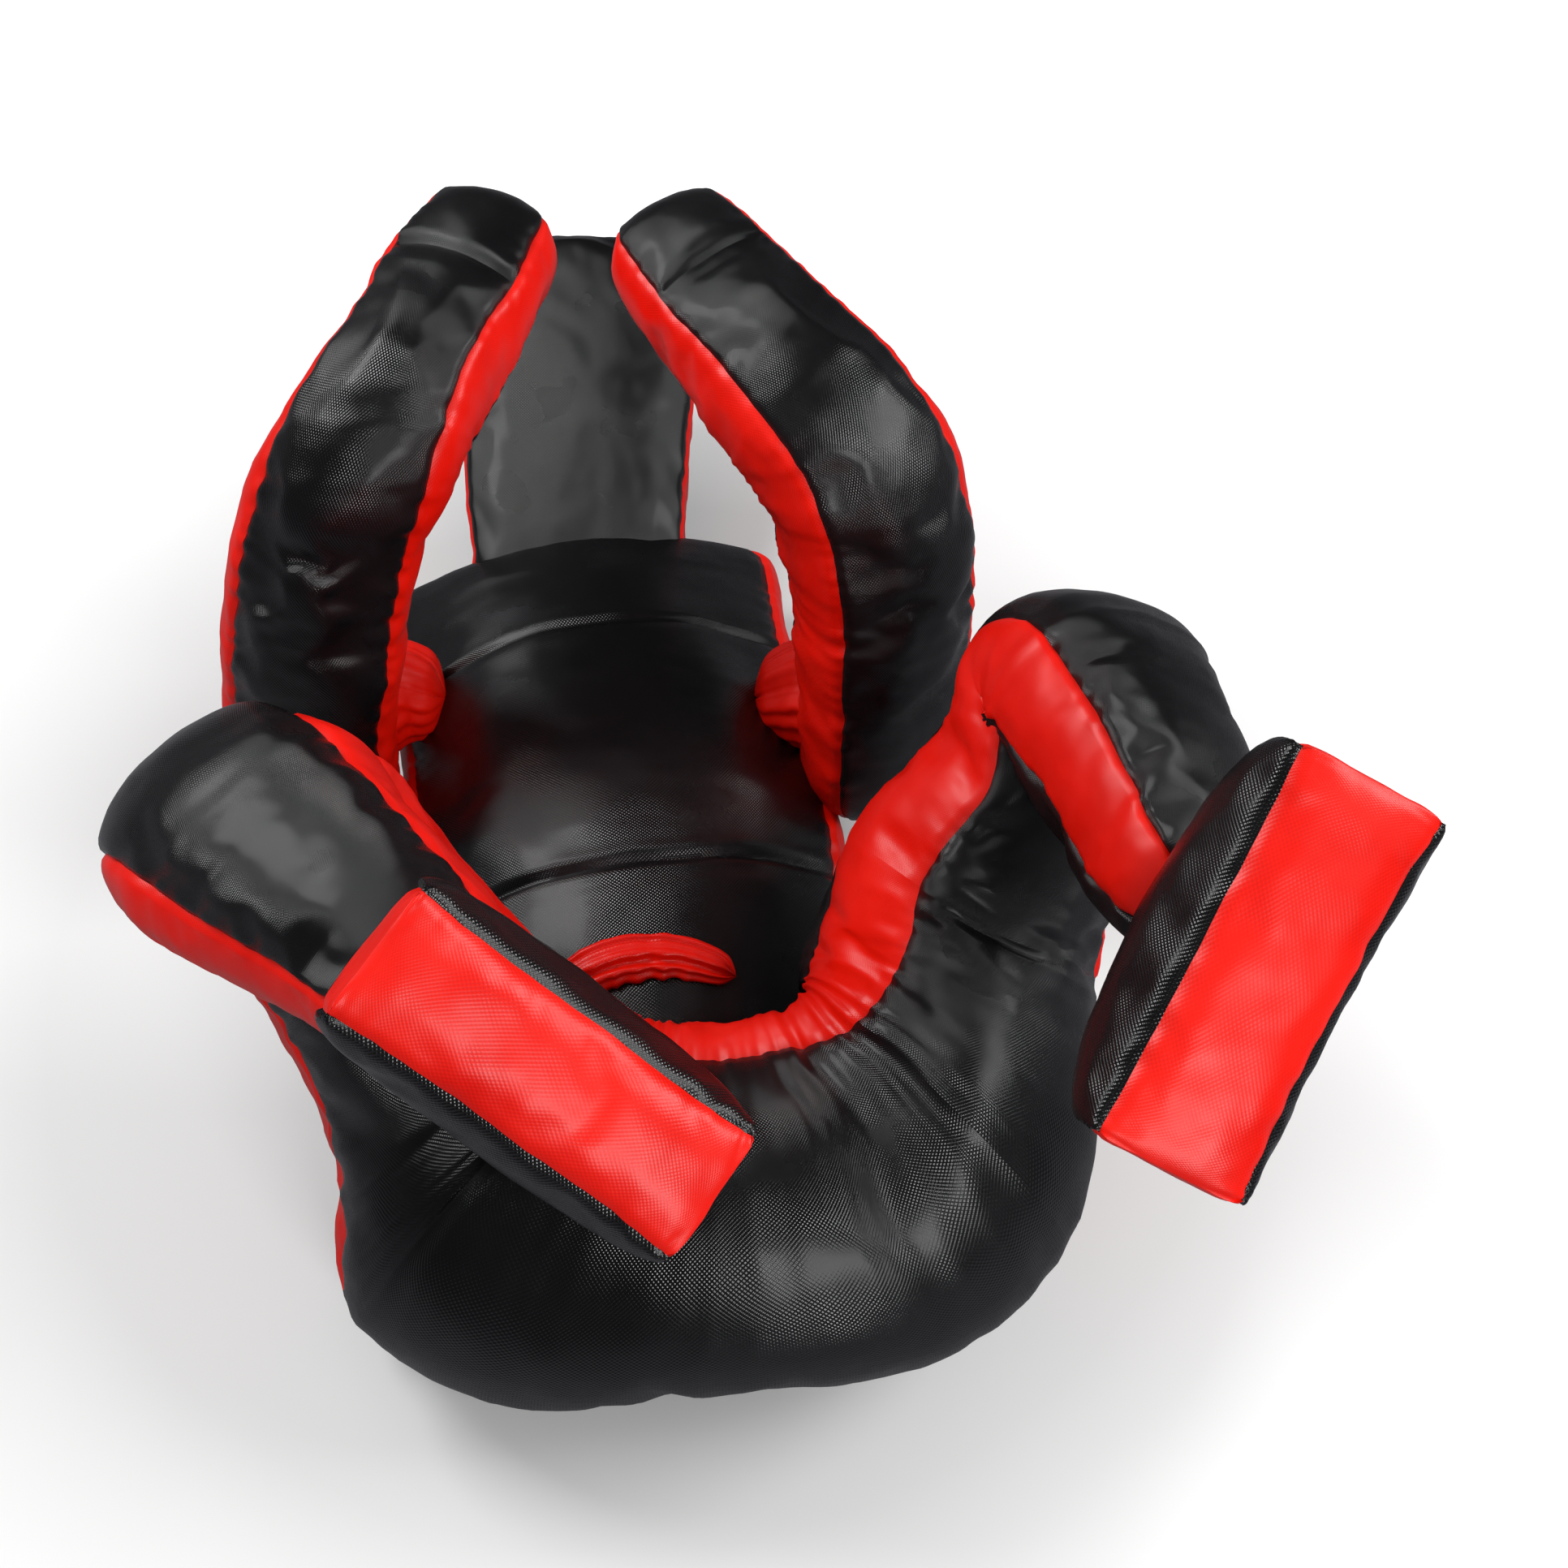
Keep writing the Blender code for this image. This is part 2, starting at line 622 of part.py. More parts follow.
def build_arm(side, torso_room):
    """Upper arm, forearm and hand of one side, and the gathered gusset in the armpit."""
    pose = POSE[side]
    turn = math.radians(SHOULDER_TURN_DEG)
    across = Vector((math.cos(turn), math.sin(turn), 0.0))
    shoulder = Vector((TORSO_X, SHOULDER_Y, SHOULDER_Z)) + across * OUTWARD[side] * SHOULDER_HALF_SPAN
    upper, lower = direction(pose["upper_arm"]), direction(pose["forearm"])
    hinge = square_to(across, upper)
    front = hinge.cross(upper)
    bent = square_to(-lower, upper)
    twist = math.atan2(upper.dot(front.cross(bent)), front.dot(bent))
    shoulder_frame = frame(shoulder, upper, front)
    joint = make_joint("shoulder_" + side, shoulder_frame)
    arm = Limb(
        length=UPPER_ARM_LENGTH,
        start=(SHOULDER_HALF_WIDTH, SHOULDER_THICKNESS / 2.0),
        swell=(ARM_HALF_WIDTH, ARM_THICKNESS / 2.0),
        end=(ELBOW_HALF_WIDTH, ELBOW_THICKNESS / 2.0),
        twist=twist,
        round_start=True,
        round_end=True,
    )
    arm.dress("upper_arm_" + side, joint, limb_panels(ARM_INNER[side]))

    elbow = shoulder + upper * UPPER_ARM_LENGTH
    joint = make_joint("elbow_" + side, frame(elbow, lower, square_to(upper, lower)))
    forearm = Limb(
        length=FOREARM_LENGTH,
        start=(ELBOW_HALF_WIDTH, ELBOW_THICKNESS / 2.0),
        swell=(ELBOW_HALF_WIDTH, FOREARM_THICKNESS / 2.0),
        end=(WRIST_HALF_WIDTH, WRIST_THICKNESS / 2.0),
        begin=ELBOW_THICKNESS * 0.2,
    )
    pieces = forearm.dress("forearm_" + side, joint, limb_panels(ARM_INNER[side]))
    rooms = socket("elbow_" + side, joint, arm, upper.angle(lower), ELBOW_CLOSE_DEG)
    cut(pieces, *rooms)
    hand = Limb(
        length=HAND_LENGTH - HAND_TIP_THICKNESS / 2.0,
        start=(WRIST_HALF_WIDTH, WRIST_THICKNESS / 2.0),
        swell=(WRIST_HALF_WIDTH * 0.97, WRIST_THICKNESS * 0.47),
        end=(HAND_TIP_HALF_WIDTH, HAND_TIP_THICKNESS / 2.0),
        round_end=True,
    )
    shape = hand.solid(0.0)
    bmesh.ops.translate(shape, vec=(0.0, 0.0, FOREARM_LENGTH + SEAM_GAP), verts=shape.verts)
    make_object("hand_" + side, shape, joint, "black")

    armpit = make_joint("armpit_" + side, shoulder_frame)
    dish = [(share, arm.size_at(ARMPIT_RADIUS * share)[0] + JOINT_GAP) for share in ARMPIT_RINGS]
    dish.append((1.0, dish[-1][1] + ARMPIT_DEPTH))
    rings = []
    for share, x in dish:
        ring = []
        for k in range(4 * ARMPIT_PLEATS):
            t = math.tau * k / (4 * ARMPIT_PLEATS)
            radius = share * (ARMPIT_RADIUS - ARMPIT_PLEAT_DEPTH * (1.0 + math.cos(ARMPIT_PLEATS * t)) / 2.0)
            ring.append((ARM_INNER[side] * x, radius * math.cos(t), radius * math.sin(t)))
        rings.append(ring)
    gusset = make_object("armpit_gusset_" + side, loft(rings), armpit, "red")
    cut((gusset,), torso_room)


def build_leg(side, seat_axis, seat_room):
    """Thigh, shin and foot of one side."""
    pose = POSE[side]
    hip = seat_axis.matrix_world @ Vector((OUTWARD[side] * HIP_HALF_SPAN, 0.0, 0.0))
    upper, lower = direction(pose["thigh"]), direction(pose["shin"])
    joint = make_joint("hip_" + side, frame(hip, upper, -lower))
    thigh = Limb(
        length=THIGH_LENGTH,
        start=(THIGH_ROOT_HALF_WIDTH, THIGH_THICKNESS / 2.0),
        swell=(THIGH_HALF_WIDTH, THIGH_THICKNESS / 2.0),
        end=(KNEE_HALF_WIDTH, KNEE_THICKNESS / 2.0),
        begin=SEAT_RADIUS * 0.7,
        round_end=True,
    )
    inner = LEG_INNER[side]
    wrap = (BACK, PLUS, FRONT) if inner < 0 else (FRONT, MINUS, BACK)
    panels = {"panel": ("black", wrap), "inner_strip": ("red", (MINUS if inner < 0 else PLUS,))}
    cut(thigh.dress("thigh_" + side, joint, panels), seat_room)

    knee = hip + upper * THIGH_LENGTH
    knee_frame = frame(knee, lower, upper)
    joint = make_joint("knee_" + side, knee_frame)
    shin = Limb(
        length=SHIN_LENGTH,
        start=(KNEE_HALF_WIDTH, KNEE_THICKNESS / 2.0),
        swell=(SHIN_HALF_WIDTH, SHIN_THICKNESS / 2.0),
        end=(ANKLE_RADIUS, ANKLE_RADIUS),
        begin=KNEE_THICKNESS * 0.2,
        round_end=True,
        ball_end=True,
    )
    pieces = shin.dress("shin_" + side, joint, limb_panels(inner))
    rooms = socket("knee_" + side, joint, thigh, upper.angle(lower), KNEE_CLOSE_DEG)
    cut(pieces, *rooms)

    ankle = knee + lower * SHIN_LENGTH
    joint = make_joint("ankle_" + side, frame(ankle, direction(pose["sole"]), direction(pose["toe"])))
    build_foot(side, joint)


def foot_outline(half_length, top, turn_up, depth, middle):
    """D-shaped side of a foot: straight sole at the top, round back below."""
    count = 12
    points = [(middle - half_length, top), (middle - half_length, top - turn_up)]
    for k in range(1, count):
        t = math.pi * k / count
        across = -half_length * math.cos(t)
        points.append((middle + across, top - turn_up - (depth - turn_up) * math.sin(t)))
    points += [(middle + half_length, top - turn_up), (middle + half_length, top)]
    points += [(middle + half_length / 3.0, top), (middle - half_length / 3.0, top)]
    return points


def build_foot(side, joint):
    """Foot pad on the ankle: black D-shaped upper with its stuffing, and the red sole strip."""
    half = FOOT_LENGTH / 2.0
    offset = ANKLE_OFFSET[side]
    fall = (FOOT_DEPTH - SOLE_TURN_UP) * (1.0 - math.sqrt(1.0 - (offset / half) ** 2))
    top = ANKLE_RADIUS - ANKLE_SINK + FOOT_DEPTH - fall
    skin = SKIN + SKIN_GAP

    def place(u, v, w):
        return Vector((w, u, v))

    sole_outline = foot_outline(half, top, SOLE_TURN_UP, FOOT_DEPTH, -offset)
    upper_outline = foot_outline(half - skin, top - skin, SOLE_TURN_UP - skin, FOOT_DEPTH - skin, -offset)
    sole_pad = Pad(sole_outline, FOOT_HALF_WIDTH + SKIN + SEAM_GAP, FOOT_CROWN, place)
    upper_pad = Pad(upper_outline, FOOT_HALF_WIDTH, FOOT_CROWN, place)
    upper = make_object("foot_upper_" + side, upper_pad.solid(0.0), joint, "black")
    count = len(sole_outline)
    grids = []
    for depth in (0.0, SKIN):
        inset = sole_pad.inset(depth)
        run = inset[count - 4:] + inset[:2]
        grids.append([sole_pad.at(run, w) for w in (-FOOT_HALF_WIDTH, 0.0, FOOT_HALF_WIDTH)])
    sole = make_object("sole_" + side, shell(*grids), joint, "red")
    room = make_object("ankle_room_" + side, ball(ANKLE_RADIUS + JOINT_GAP), joint, "cutter")
    cut((upper, sole), room)


def main():
    """Build the dummy, the larger pieces first."""
    clear_scene()
    seat_axis, seat_room = build_seat()
    bpy.context.view_layer.update()
    torso, spine, torso_room = build_torso(seat_room)
    build_hip_gusset(torso, torso_room)
    build_head(Vector((TORSO_X, TORSO_FOOT_Y + TORSO_LENGTH, NECK_RADIUS)))
    for side in ("left", "right"):
        build_arm(side, torso_room)
        build_leg(side, seat_axis, seat_room)
    bpy.context.view_layer.update()


main()
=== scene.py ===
"""Looks of the grappling dummy: sewn vinyl over packed stuffing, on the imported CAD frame.

Every stuffed part is a long sleeve, laid out from a few sections, or a flat cushion. It is blown up with a
short cloth simulation whose seams are gathered, drawn in at its seams, and then parted into its sewn panels.
The small gathered gussets are pleated sleeves, which go without the simulation.
"""

import logging
import math
from dataclasses import dataclass, field
from enum import Enum, IntEnum
from typing import Callable

import bmesh
import bpy
import numpy as np
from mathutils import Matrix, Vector, noise


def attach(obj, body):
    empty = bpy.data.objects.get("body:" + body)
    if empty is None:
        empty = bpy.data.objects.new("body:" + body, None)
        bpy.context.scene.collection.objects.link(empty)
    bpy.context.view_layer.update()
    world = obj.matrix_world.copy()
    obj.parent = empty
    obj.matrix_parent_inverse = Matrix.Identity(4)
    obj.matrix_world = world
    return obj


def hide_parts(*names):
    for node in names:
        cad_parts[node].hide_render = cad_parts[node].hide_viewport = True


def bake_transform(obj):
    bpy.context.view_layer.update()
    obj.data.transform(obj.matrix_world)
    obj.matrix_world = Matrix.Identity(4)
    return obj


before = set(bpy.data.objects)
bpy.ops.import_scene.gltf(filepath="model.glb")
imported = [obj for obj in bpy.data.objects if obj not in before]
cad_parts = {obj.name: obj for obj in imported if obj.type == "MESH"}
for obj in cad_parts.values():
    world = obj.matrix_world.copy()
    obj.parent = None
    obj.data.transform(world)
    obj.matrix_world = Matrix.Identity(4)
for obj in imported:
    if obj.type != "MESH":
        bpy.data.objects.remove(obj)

logging.basicConfig(level=logging.INFO, format="%(message)s")
LOG = logging.getLogger("dummy")

# The photo's camera.
PHOTO_PIXELS = 1932
PHOTO_FOCAL_PIXELS = 2300.0
SENSOR_MM = 36.0
CAMERA_TARGET = Vector((0.122, 0.0, 0.20))
CAMERA_DISTANCE = 1.45
CAMERA_AZIMUTH_DEG = -10.0
CAMERA_ELEVATION_DEG = 55.0

# Grids and sections of the forms.
FACE_COLUMNS = 18
SIDE_COLUMNS = 10
ROW_STEP = 0.0070
FEWEST_ROWS = 12
SPLINE_STEPS = 40
RAIL_STEPS = 32
TUBE_WELD = 1e-6
CUSHION_WELD = 1e-5
SMALLEST_RING = 0.05
ROUND_SQUARENESS = 0.86
FLAT_RISE = 0.25
RISE_SPAN = 0.35
DOME_POWER = 0.6
TINY = 1e-6

# The filling.
FILL_FRAMES = 18
STILL = 1e-9
FILL_CLOTH = {
    "quality": 4,
    "mass": 0.25,
    "tension_stiffness": 18.0,
    "compression_stiffness": 18.0,
    "shear_stiffness": 6.0,
    "bending_stiffness": 0.9,
    "use_pressure": True,
    "uniform_pressure_force": 4.0,
}

# Seams, puckers, dents and creases of the skin, and how it rests on the floor.
SEAM_REACH = 0.010
SEAM_DEPTH = 0.0026
SEAM_HALF = 0.0042
NOISE_GAIN = 2.0
SALT_STEP = 0.37
PUCKER_REACH = 0.016
PUCKER_PITCH = 0.011
PUCKER_ACROSS = 0.05
PUCKER_LEAST = 0.02
BROAD_DENT = 0.0012
DENT_SCALE = 22.0
DENT_FRACTAL = (0.9, 2.1, 3)
CREASE_DEPTH = 0.0042
CREASE_PITCH = 0.021
CREASE_BEND = 7.0
CREASE_WINDOW = 9
CREASE_LEAST = 0.03
CREASE_OUTSIDE = 0.3
CREASE_INSIDE = 0.7
CREASE_DRIFT = 9.0
CREASE_SALT_STEP = 0.31
CREASE_RIDGE = 0.35
FLOOR_CLEAR = 0.0006
FLOOR_SOFT = 0.010

# Where panels end and bends run, in metres along the limb.
ELBOW_BEND = 0.06
ELBOW_SPLIT = 0.10
WRIST_FROM_ELBOW = 0.185
HIP_SPLIT = 0.030
KNEE_SPLIT = 0.172
KNEE_BEND_NEAR = 0.03
KNEE_BEND_FAR = 0.05
RING_SPARE = 0.012
YOKE_SEAM_Y = 0.215
WAIST_SEAM_Y = -0.037

# The vinyl's skin.
VINYL_IOR = 1.52
COAT_ROUGHNESS = 0.22
WEAVE_PITCH = 0.0027
WEAVE_RELIEF = WEAVE_PITCH / 8.0
# Painted shade: share by which the colour darkens towards the shade colour in the weave's hollows.
WEAVE_HOLLOW_SHADE = 0.18
WEAR_SCALE = 14.0
WEAR_DETAIL = 6.0
WEAR_LOW = 0.3
WEAR_HIGH = 0.7
WEAR_SMOOTHER = 0.05
WEAR_ROUGHER = 0.08

# The studio.
FLOOR_HALF = 12.0
FLOOR_ROUGHNESS = 0.9
FLOOR_TO_LIGHT = "#6E6E72"
FLOOR_TO_CAMERA = "#CCCCCC"
SURROUND_COLOUR = "#FFFFFF"
SURROUND_LIGHT = 0.62
SURROUND_REFLECTED = 0.05
SWEEP_FROM = 0.50
SWEEP_TO = 1.10
SWEEP_GLOW = 0.9
LIGHT_AIM = Vector((0.0, -0.05, 0.25))


class Side(IntEnum):
    """The four sewn sides of a form, in the order round a sleeve."""

    FRONT = 0
    OUTER = 1
    BACK = 2
    INNER = 3


class Finish(Enum):
    """The record's two vinyl finishes."""

    BLACK = "black_vinyl"
    RED = "red_vinyl"


@dataclass(frozen=True)
class Vinyl:
    """PVC-coated cloth: a satin skin pressed with a plain weave, so highlights break into fine dots.

    Args:
        finish: The record's slot.
        shade: Darker colour, sRGB hex, mixed in by random patches of wear and as painted shade in the
            hollows of the weave.
        body: Colour of the skin, sRGB hex.
        roughness: Roughness of the skin.
        emboss: Strength of the pressed weave.
        shine: Strength of its reflections, 0.5 for a plain plastic skin.
        coat: Weight of a thin gloss over it.
    """

    finish: Finish
    shade: str
    body: str
    roughness: float
    emboss: float
    shine: float
    coat: float


VINYLS = (
    Vinyl(Finish.BLACK, "#060607", "#0D0D0F", 0.22, 0.50, 0.42, 0.16),
    Vinyl(Finish.RED, "#B40600", "#E81400", 0.36, 0.16, 0.24, 0.05),
)


@dataclass(frozen=True)
class Station:
    """One control section of a sleeve.

    Args:
        place: Middle of the section, in metres.
        inner: Direction from the middle to the inner strip.
        half_width: Half size towards the strips.
        half_thick: Half size towards the front.
        strip: Width of the side strips, as a share of the thickness.
    """

    place: tuple[float, float, float]
    inner: tuple[float, float, float]
    half_width: float
    half_thick: float
    strip: float = 0.76


def between(inner: tuple[float, ...], outer: tuple[float, ...], half_thick: float, strip: float) -> Station:
    """Section between a point of the inner strip and one of the outer strip.

    Args:
        inner: Middle of the inner strip.
        outer: Middle of the outer strip.
        half_thick: Half size towards the front.
        strip: Width of the side strips, as a share of the thickness.

    Returns:
        The section.
    """
    over = Vector(inner) - Vector(outer)
    middle = (Vector(inner) + Vector(outer)) / 2.0
    return Station(tuple(middle), tuple(over.normalized()), over.length / 2.0, half_thick, strip)


@dataclass(frozen=True)
class Carry:
    """How a piece follows the frame. A piece that spans a bend is not tied to the frame and keeps its place.

    Args:
        body: The body it rides on, or the far body of a bend.
        near: The near body of a bend, if it bends.
        start: Where the bend begins; not used.
        end: Where the bend ends; not used.
    """

    body: str
    near: str = ""
    start: Vector = field(default_factory=Vector)
    end: Vector = field(default_factory=Vector)


@dataclass(frozen=True)
class Panel:
    """One sewn panel of a form.

    Args:
        name: Name of the piece.
        finish: Its vinyl.
        replaces: CAD nodes that it stands for.
        carry: How it follows the frame.
    """

    name: str
    finish: Finish
    replaces: tuple[str, ...]
    carry: Carry


def to_linear(text: str) -> tuple[float, float, float, float]:
    """Turn an sRGB hex colour to linear.

    Args:
        text: Colour such as "#AABBCC".

    Returns:
        Linear red, green, blue and alpha.
    """
    values = [int(text[k : k + 2], 16) / 255.0 for k in (1, 3, 5)]
    linear = [v / 12.92 if v <= 0.04045 else ((v + 0.055) / 1.055) ** 2.4 for v in values]
    return (linear[0], linear[1], linear[2], 1.0)


class Graph:
    """A node tree that is filled by short calls, with inputs given by name or by number."""

    def __init__(self, tree: bpy.types.NodeTree) -> None:
        """Keep the tree."""
        self.tree = tree

    def feed(self, node: bpy.types.Node, inputs: dict[str, object]) -> bpy.types.Node:
        """Link each input of a node to a socket, or set it to a value.

        Args:
            node: The node.
            inputs: What goes into it.

        Returns:
            The node.
        """
        for key, source in inputs.items():
            socket = node.inputs[int(key) if key.isdigit() else key]
            if isinstance(source, bpy.types.NodeSocket):
                self.tree.links.new(source, socket)
            else:
                socket.default_value = source
        return node

    def add(self, kind: str, inputs: dict[str, object], **settings: object) -> bpy.types.Node:
        """Add one node.

        Args:
            kind: Its type.
            inputs: What goes into it.
            settings: Its properties.

        Returns:
            The node.
        """
        node = self.tree.nodes.new(kind)
        for key, value in settings.items():
            setattr(node, key, value)
        return self.feed(node, inputs)

    def maths(self, operation: str, *inputs: object) -> bpy.types.NodeSocket:
        """Add one arithmetic node.

        Args:
            operation: What it does.
            inputs: Sockets or numbers that it works on.

        Returns:
            Its result.
        """
        numbered = {str(k): source for k, source in enumerate(inputs)}
        return self.add("ShaderNodeMath", numbered, operation=operation).outputs[0]


def make_vinyl(spec: Vinyl) -> bpy.types.Material:
    """Build a vinyl material that reads the piece's own UVs, which are in metres.

    Args:
        spec: The vinyl.

    Returns:
        The material.
    """
    material = bpy.data.materials.new(spec.finish.value)
    material.use_nodes = True
    graph = Graph(material.node_tree)
    place = graph.add("ShaderNodeUVMap", {}, uv_map="cloth").outputs[0]
    split = graph.add("ShaderNodeSeparateXYZ", {"0": place})
    turns = math.tau / WEAVE_PITCH
    warp, weft = (graph.maths("SINE", graph.maths("MULTIPLY", split.outputs[k], turns)) for k in (0, 1))
    weave = graph.maths("MULTIPLY", warp, weft)
    bump = graph.add(
        "ShaderNodeBump", {"Height": weave, "Strength": spec.emboss, "Distance": WEAVE_RELIEF}
    )
    spot = graph.add("ShaderNodeTexCoord", {}).outputs["Object"]
    noisy = {"Vector": spot, "Scale": WEAR_SCALE, "Detail": WEAR_DETAIL}
    wear = graph.add("ShaderNodeTexNoise", noisy).outputs["Fac"]
    # Painted shade: the weave's hollows are darkened towards the shade colour, on top of random patches of
    # wear.
    wear_and_weave_shade = graph.maths("ADD", graph.maths("MULTIPLY", weave, WEAVE_HOLLOW_SHADE), wear)
    colour = graph.add(
        "ShaderNodeMix",
        {"0": wear_and_weave_shade, "6": to_linear(spec.shade), "7": to_linear(spec.body)},
        data_type="RGBA",
        clamp_factor=True,
    )
    worn = {
        "0": wear,
        "From Min": WEAR_LOW,
        "From Max": WEAR_HIGH,
        "To Min": spec.roughness - WEAR_SMOOTHER,
        "To Max": spec.roughness + WEAR_ROUGHER,
    }
    skin = {
        "IOR": VINYL_IOR,
        "Specular IOR Level": spec.shine,
        "Coat Weight": spec.coat,
        "Coat Roughness": COAT_ROUGHNESS,
        "Normal": bump.outputs[0],
        "Base Color": colour.outputs[2],
        "Roughness": graph.add("ShaderNodeMapRange", worn).outputs[0],
    }
    graph.feed(material.node_tree.nodes["Principled BSDF"], skin)
    return material


def spline(knots: np.ndarray, count: int) -> np.ndarray:
    """Smooth curve through rows of numbers, spaced evenly by the distance of their first three columns.

    Args:
        knots: One row a knot, place first.
        count: Rows wanted.

    Returns:
        The rows along the curve.
    """
    ends = np.vstack([2 * knots[0] - knots[1], knots, 2 * knots[-1] - knots[-2]])
    fine = []
    for before, here, after, beyond in zip(ends, ends[1:], ends[2:], ends[3:]):
        for t in np.linspace(0.0, 1.0, SPLINE_STEPS, endpoint=False):
            rise = after - before
            curve = 2 * before - 5 * here + 4 * after - beyond
            twist = 3 * here - before - 3 * after + beyond
            fine.append(here + 0.5 * t * (rise + t * (curve + t * twist)))
    line = np.array(fine + [knots[-1]])
    run = np.concatenate([[0.0], np.cumsum(np.linalg.norm(np.diff(line[:, :3], axis=0), axis=1))])
    wanted = np.linspace(0.0, run[-1], count)
    return np.column_stack([np.interp(wanted, run, line[:, c]) for c in range(line.shape[1])])


def to_mesh(name: str, shape: bmesh.types.BMesh) -> bpy.types.Mesh:
    """Turn a finished shape into a mesh.

    Args:
        name: Name of the mesh.
        shape: The shape, which is freed.

    Returns:
        The mesh.
    """
    mesh = bpy.data.meshes.new(name)
    shape.to_mesh(mesh)
    shape.free()
    return mesh


def add_object(name: str, data: bpy.types.ID) -> bpy.types.Object:
    """Add an object to the scene.

    Args:
        name: Its name.
        data: Its mesh, light or camera.

    Returns:
        The object.
    """
    item = bpy.data.objects.new(name, data)
    bpy.context.collection.objects.link(item)
    return item


@dataclass(frozen=True)
class Cell:
    """One point of a form that is sewn from grids.

    Args:
        spot: Where it is.
        side: The side of the form that begins there.
        cloth: Its place on the cloth, in metres.
        run: Distance along the nearest seam, in metres.
        seam: Distance from the nearest seam, in metres.
    """

    spot: Vector
    side: Side
    cloth: tuple[float, float]
    run: float
    seam: float


@dataclass(frozen=True)
class Patch:
    """One grid of a form.

    Args:
        columns: Faces across it.
        rows: Faces along it.
        cell: Gives the point at a share of the way across and a share of the way along.
    """

    columns: int
    rows: int
    cell: Callable[[float, float], Cell]


def sew(name: str, patches: list[Patch], weld: float) -> bpy.types.Object:
    """Sew grids into a closed form that notes its sides, cloth places, runs and seams.

    Args:
        name: Name of the form.
        patches: Its grids.
        weld: Distance within which points are joined.

    Returns:
        The form's object, with one slot a side.
    """
    shape = bmesh.new()
    cloth = shape.loops.layers.uv.new("cloth")
    run = shape.verts.layers.float.new("run")
    seam = shape.verts.layers.float.new("seam")
    for patch in patches:
        made = bmesh.ops.create_grid(shape, x_segments=patch.columns, y_segments=patch.rows, size=1.0)
        shares = {vert: ((vert.co.y + 1.0) / 2.0, (vert.co.x + 1.0) / 2.0) for vert in made["verts"]}
        cells = {vert: patch.cell(across, along) for vert, (along, across) in shares.items()}
        for face in {face for vert in cells for face in vert.link_faces}:
            face.material_index = int(cells[min(face.verts, key=shares.get)].side)
            for loop in face.loops:
                loop[cloth].uv = cells[loop.vert].cloth
        for vert, cell in cells.items():
            vert.co, vert[run], vert[seam] = cell.spot, cell.run, cell.seam
    bmesh.ops.remove_doubles(shape, verts=shape.verts, dist=weld)
    bmesh.ops.holes_fill(shape, edges=[edge for edge in shape.edges if edge.is_boundary], sides=0)
    bmesh.ops.recalc_face_normals(shape, faces=shape.faces)
    mesh = to_mesh(name, shape)
    for _ in Side:
        mesh.materials.append(None)
    return add_object(name, mesh)


def bulging(share: float, rise: float) -> tuple[float, float]:
    """Curve of a face from seam to seam: a flat arc when it is low, a round one when it is high.

    Args:
        share: How far along the face, from 0 to 1.
        rise: Height of the face over its seams, as a share of its half width.

    Returns:
        Place across from 1 to -1, and height from 0 to 1.
    """
    turn = math.pi * share
    roundness = min(max((rise - FLAT_RISE) / RISE_SPAN, 0.0), 1.0)
    across = math.copysign(abs(math.cos(turn)) ** ROUND_SQUARENESS, math.cos(turn))
    height = max(math.sin(turn), 0.0) ** ROUND_SQUARENESS
    low_across, low_height = 1.0 - 2.0 * share, 4.0 * share * (1.0 - share)
    return (
        low_across + (across - low_across) * roundness,
        low_height + (height - low_height) * roundness,
    )


@dataclass(kw_only=True)
class Stuffed:
    """One stuffed form, from its shape to its sewn panels.

    Args:
        name: Name of the form.
        panel_at: Gives the panel at a place along the form, a spot and a side.
        gather: Share by which seams are drawn up, which puckers the panels.
        growth: Share by which the panels are cut larger than the form.
        cap_move: Furthest that the filling may push a point.
        pucker: Height of the puckers along the seams.
        fill: How full it is packed, from 0 to 1; not used.
    """

    name: str
    panel_at: Callable[[float, Vector, Side], Panel]
    gather: float = 0.05
    growth: float = 0.03
    cap_move: float = 0.010
    pucker: float = 0.0014
    fill: float = 0.8

    def creases(self, run: np.ndarray, points: np.ndarray, normals: np.ndarray) -> np.ndarray:
        """Height of the creases that bending presses into the form, none unless it is long.

        Args:
            run: Place of each point along the form.
            points: The points.
            normals: Their normals.

        Returns:
            One height a point.
        """
        return np.zeros(len(points))


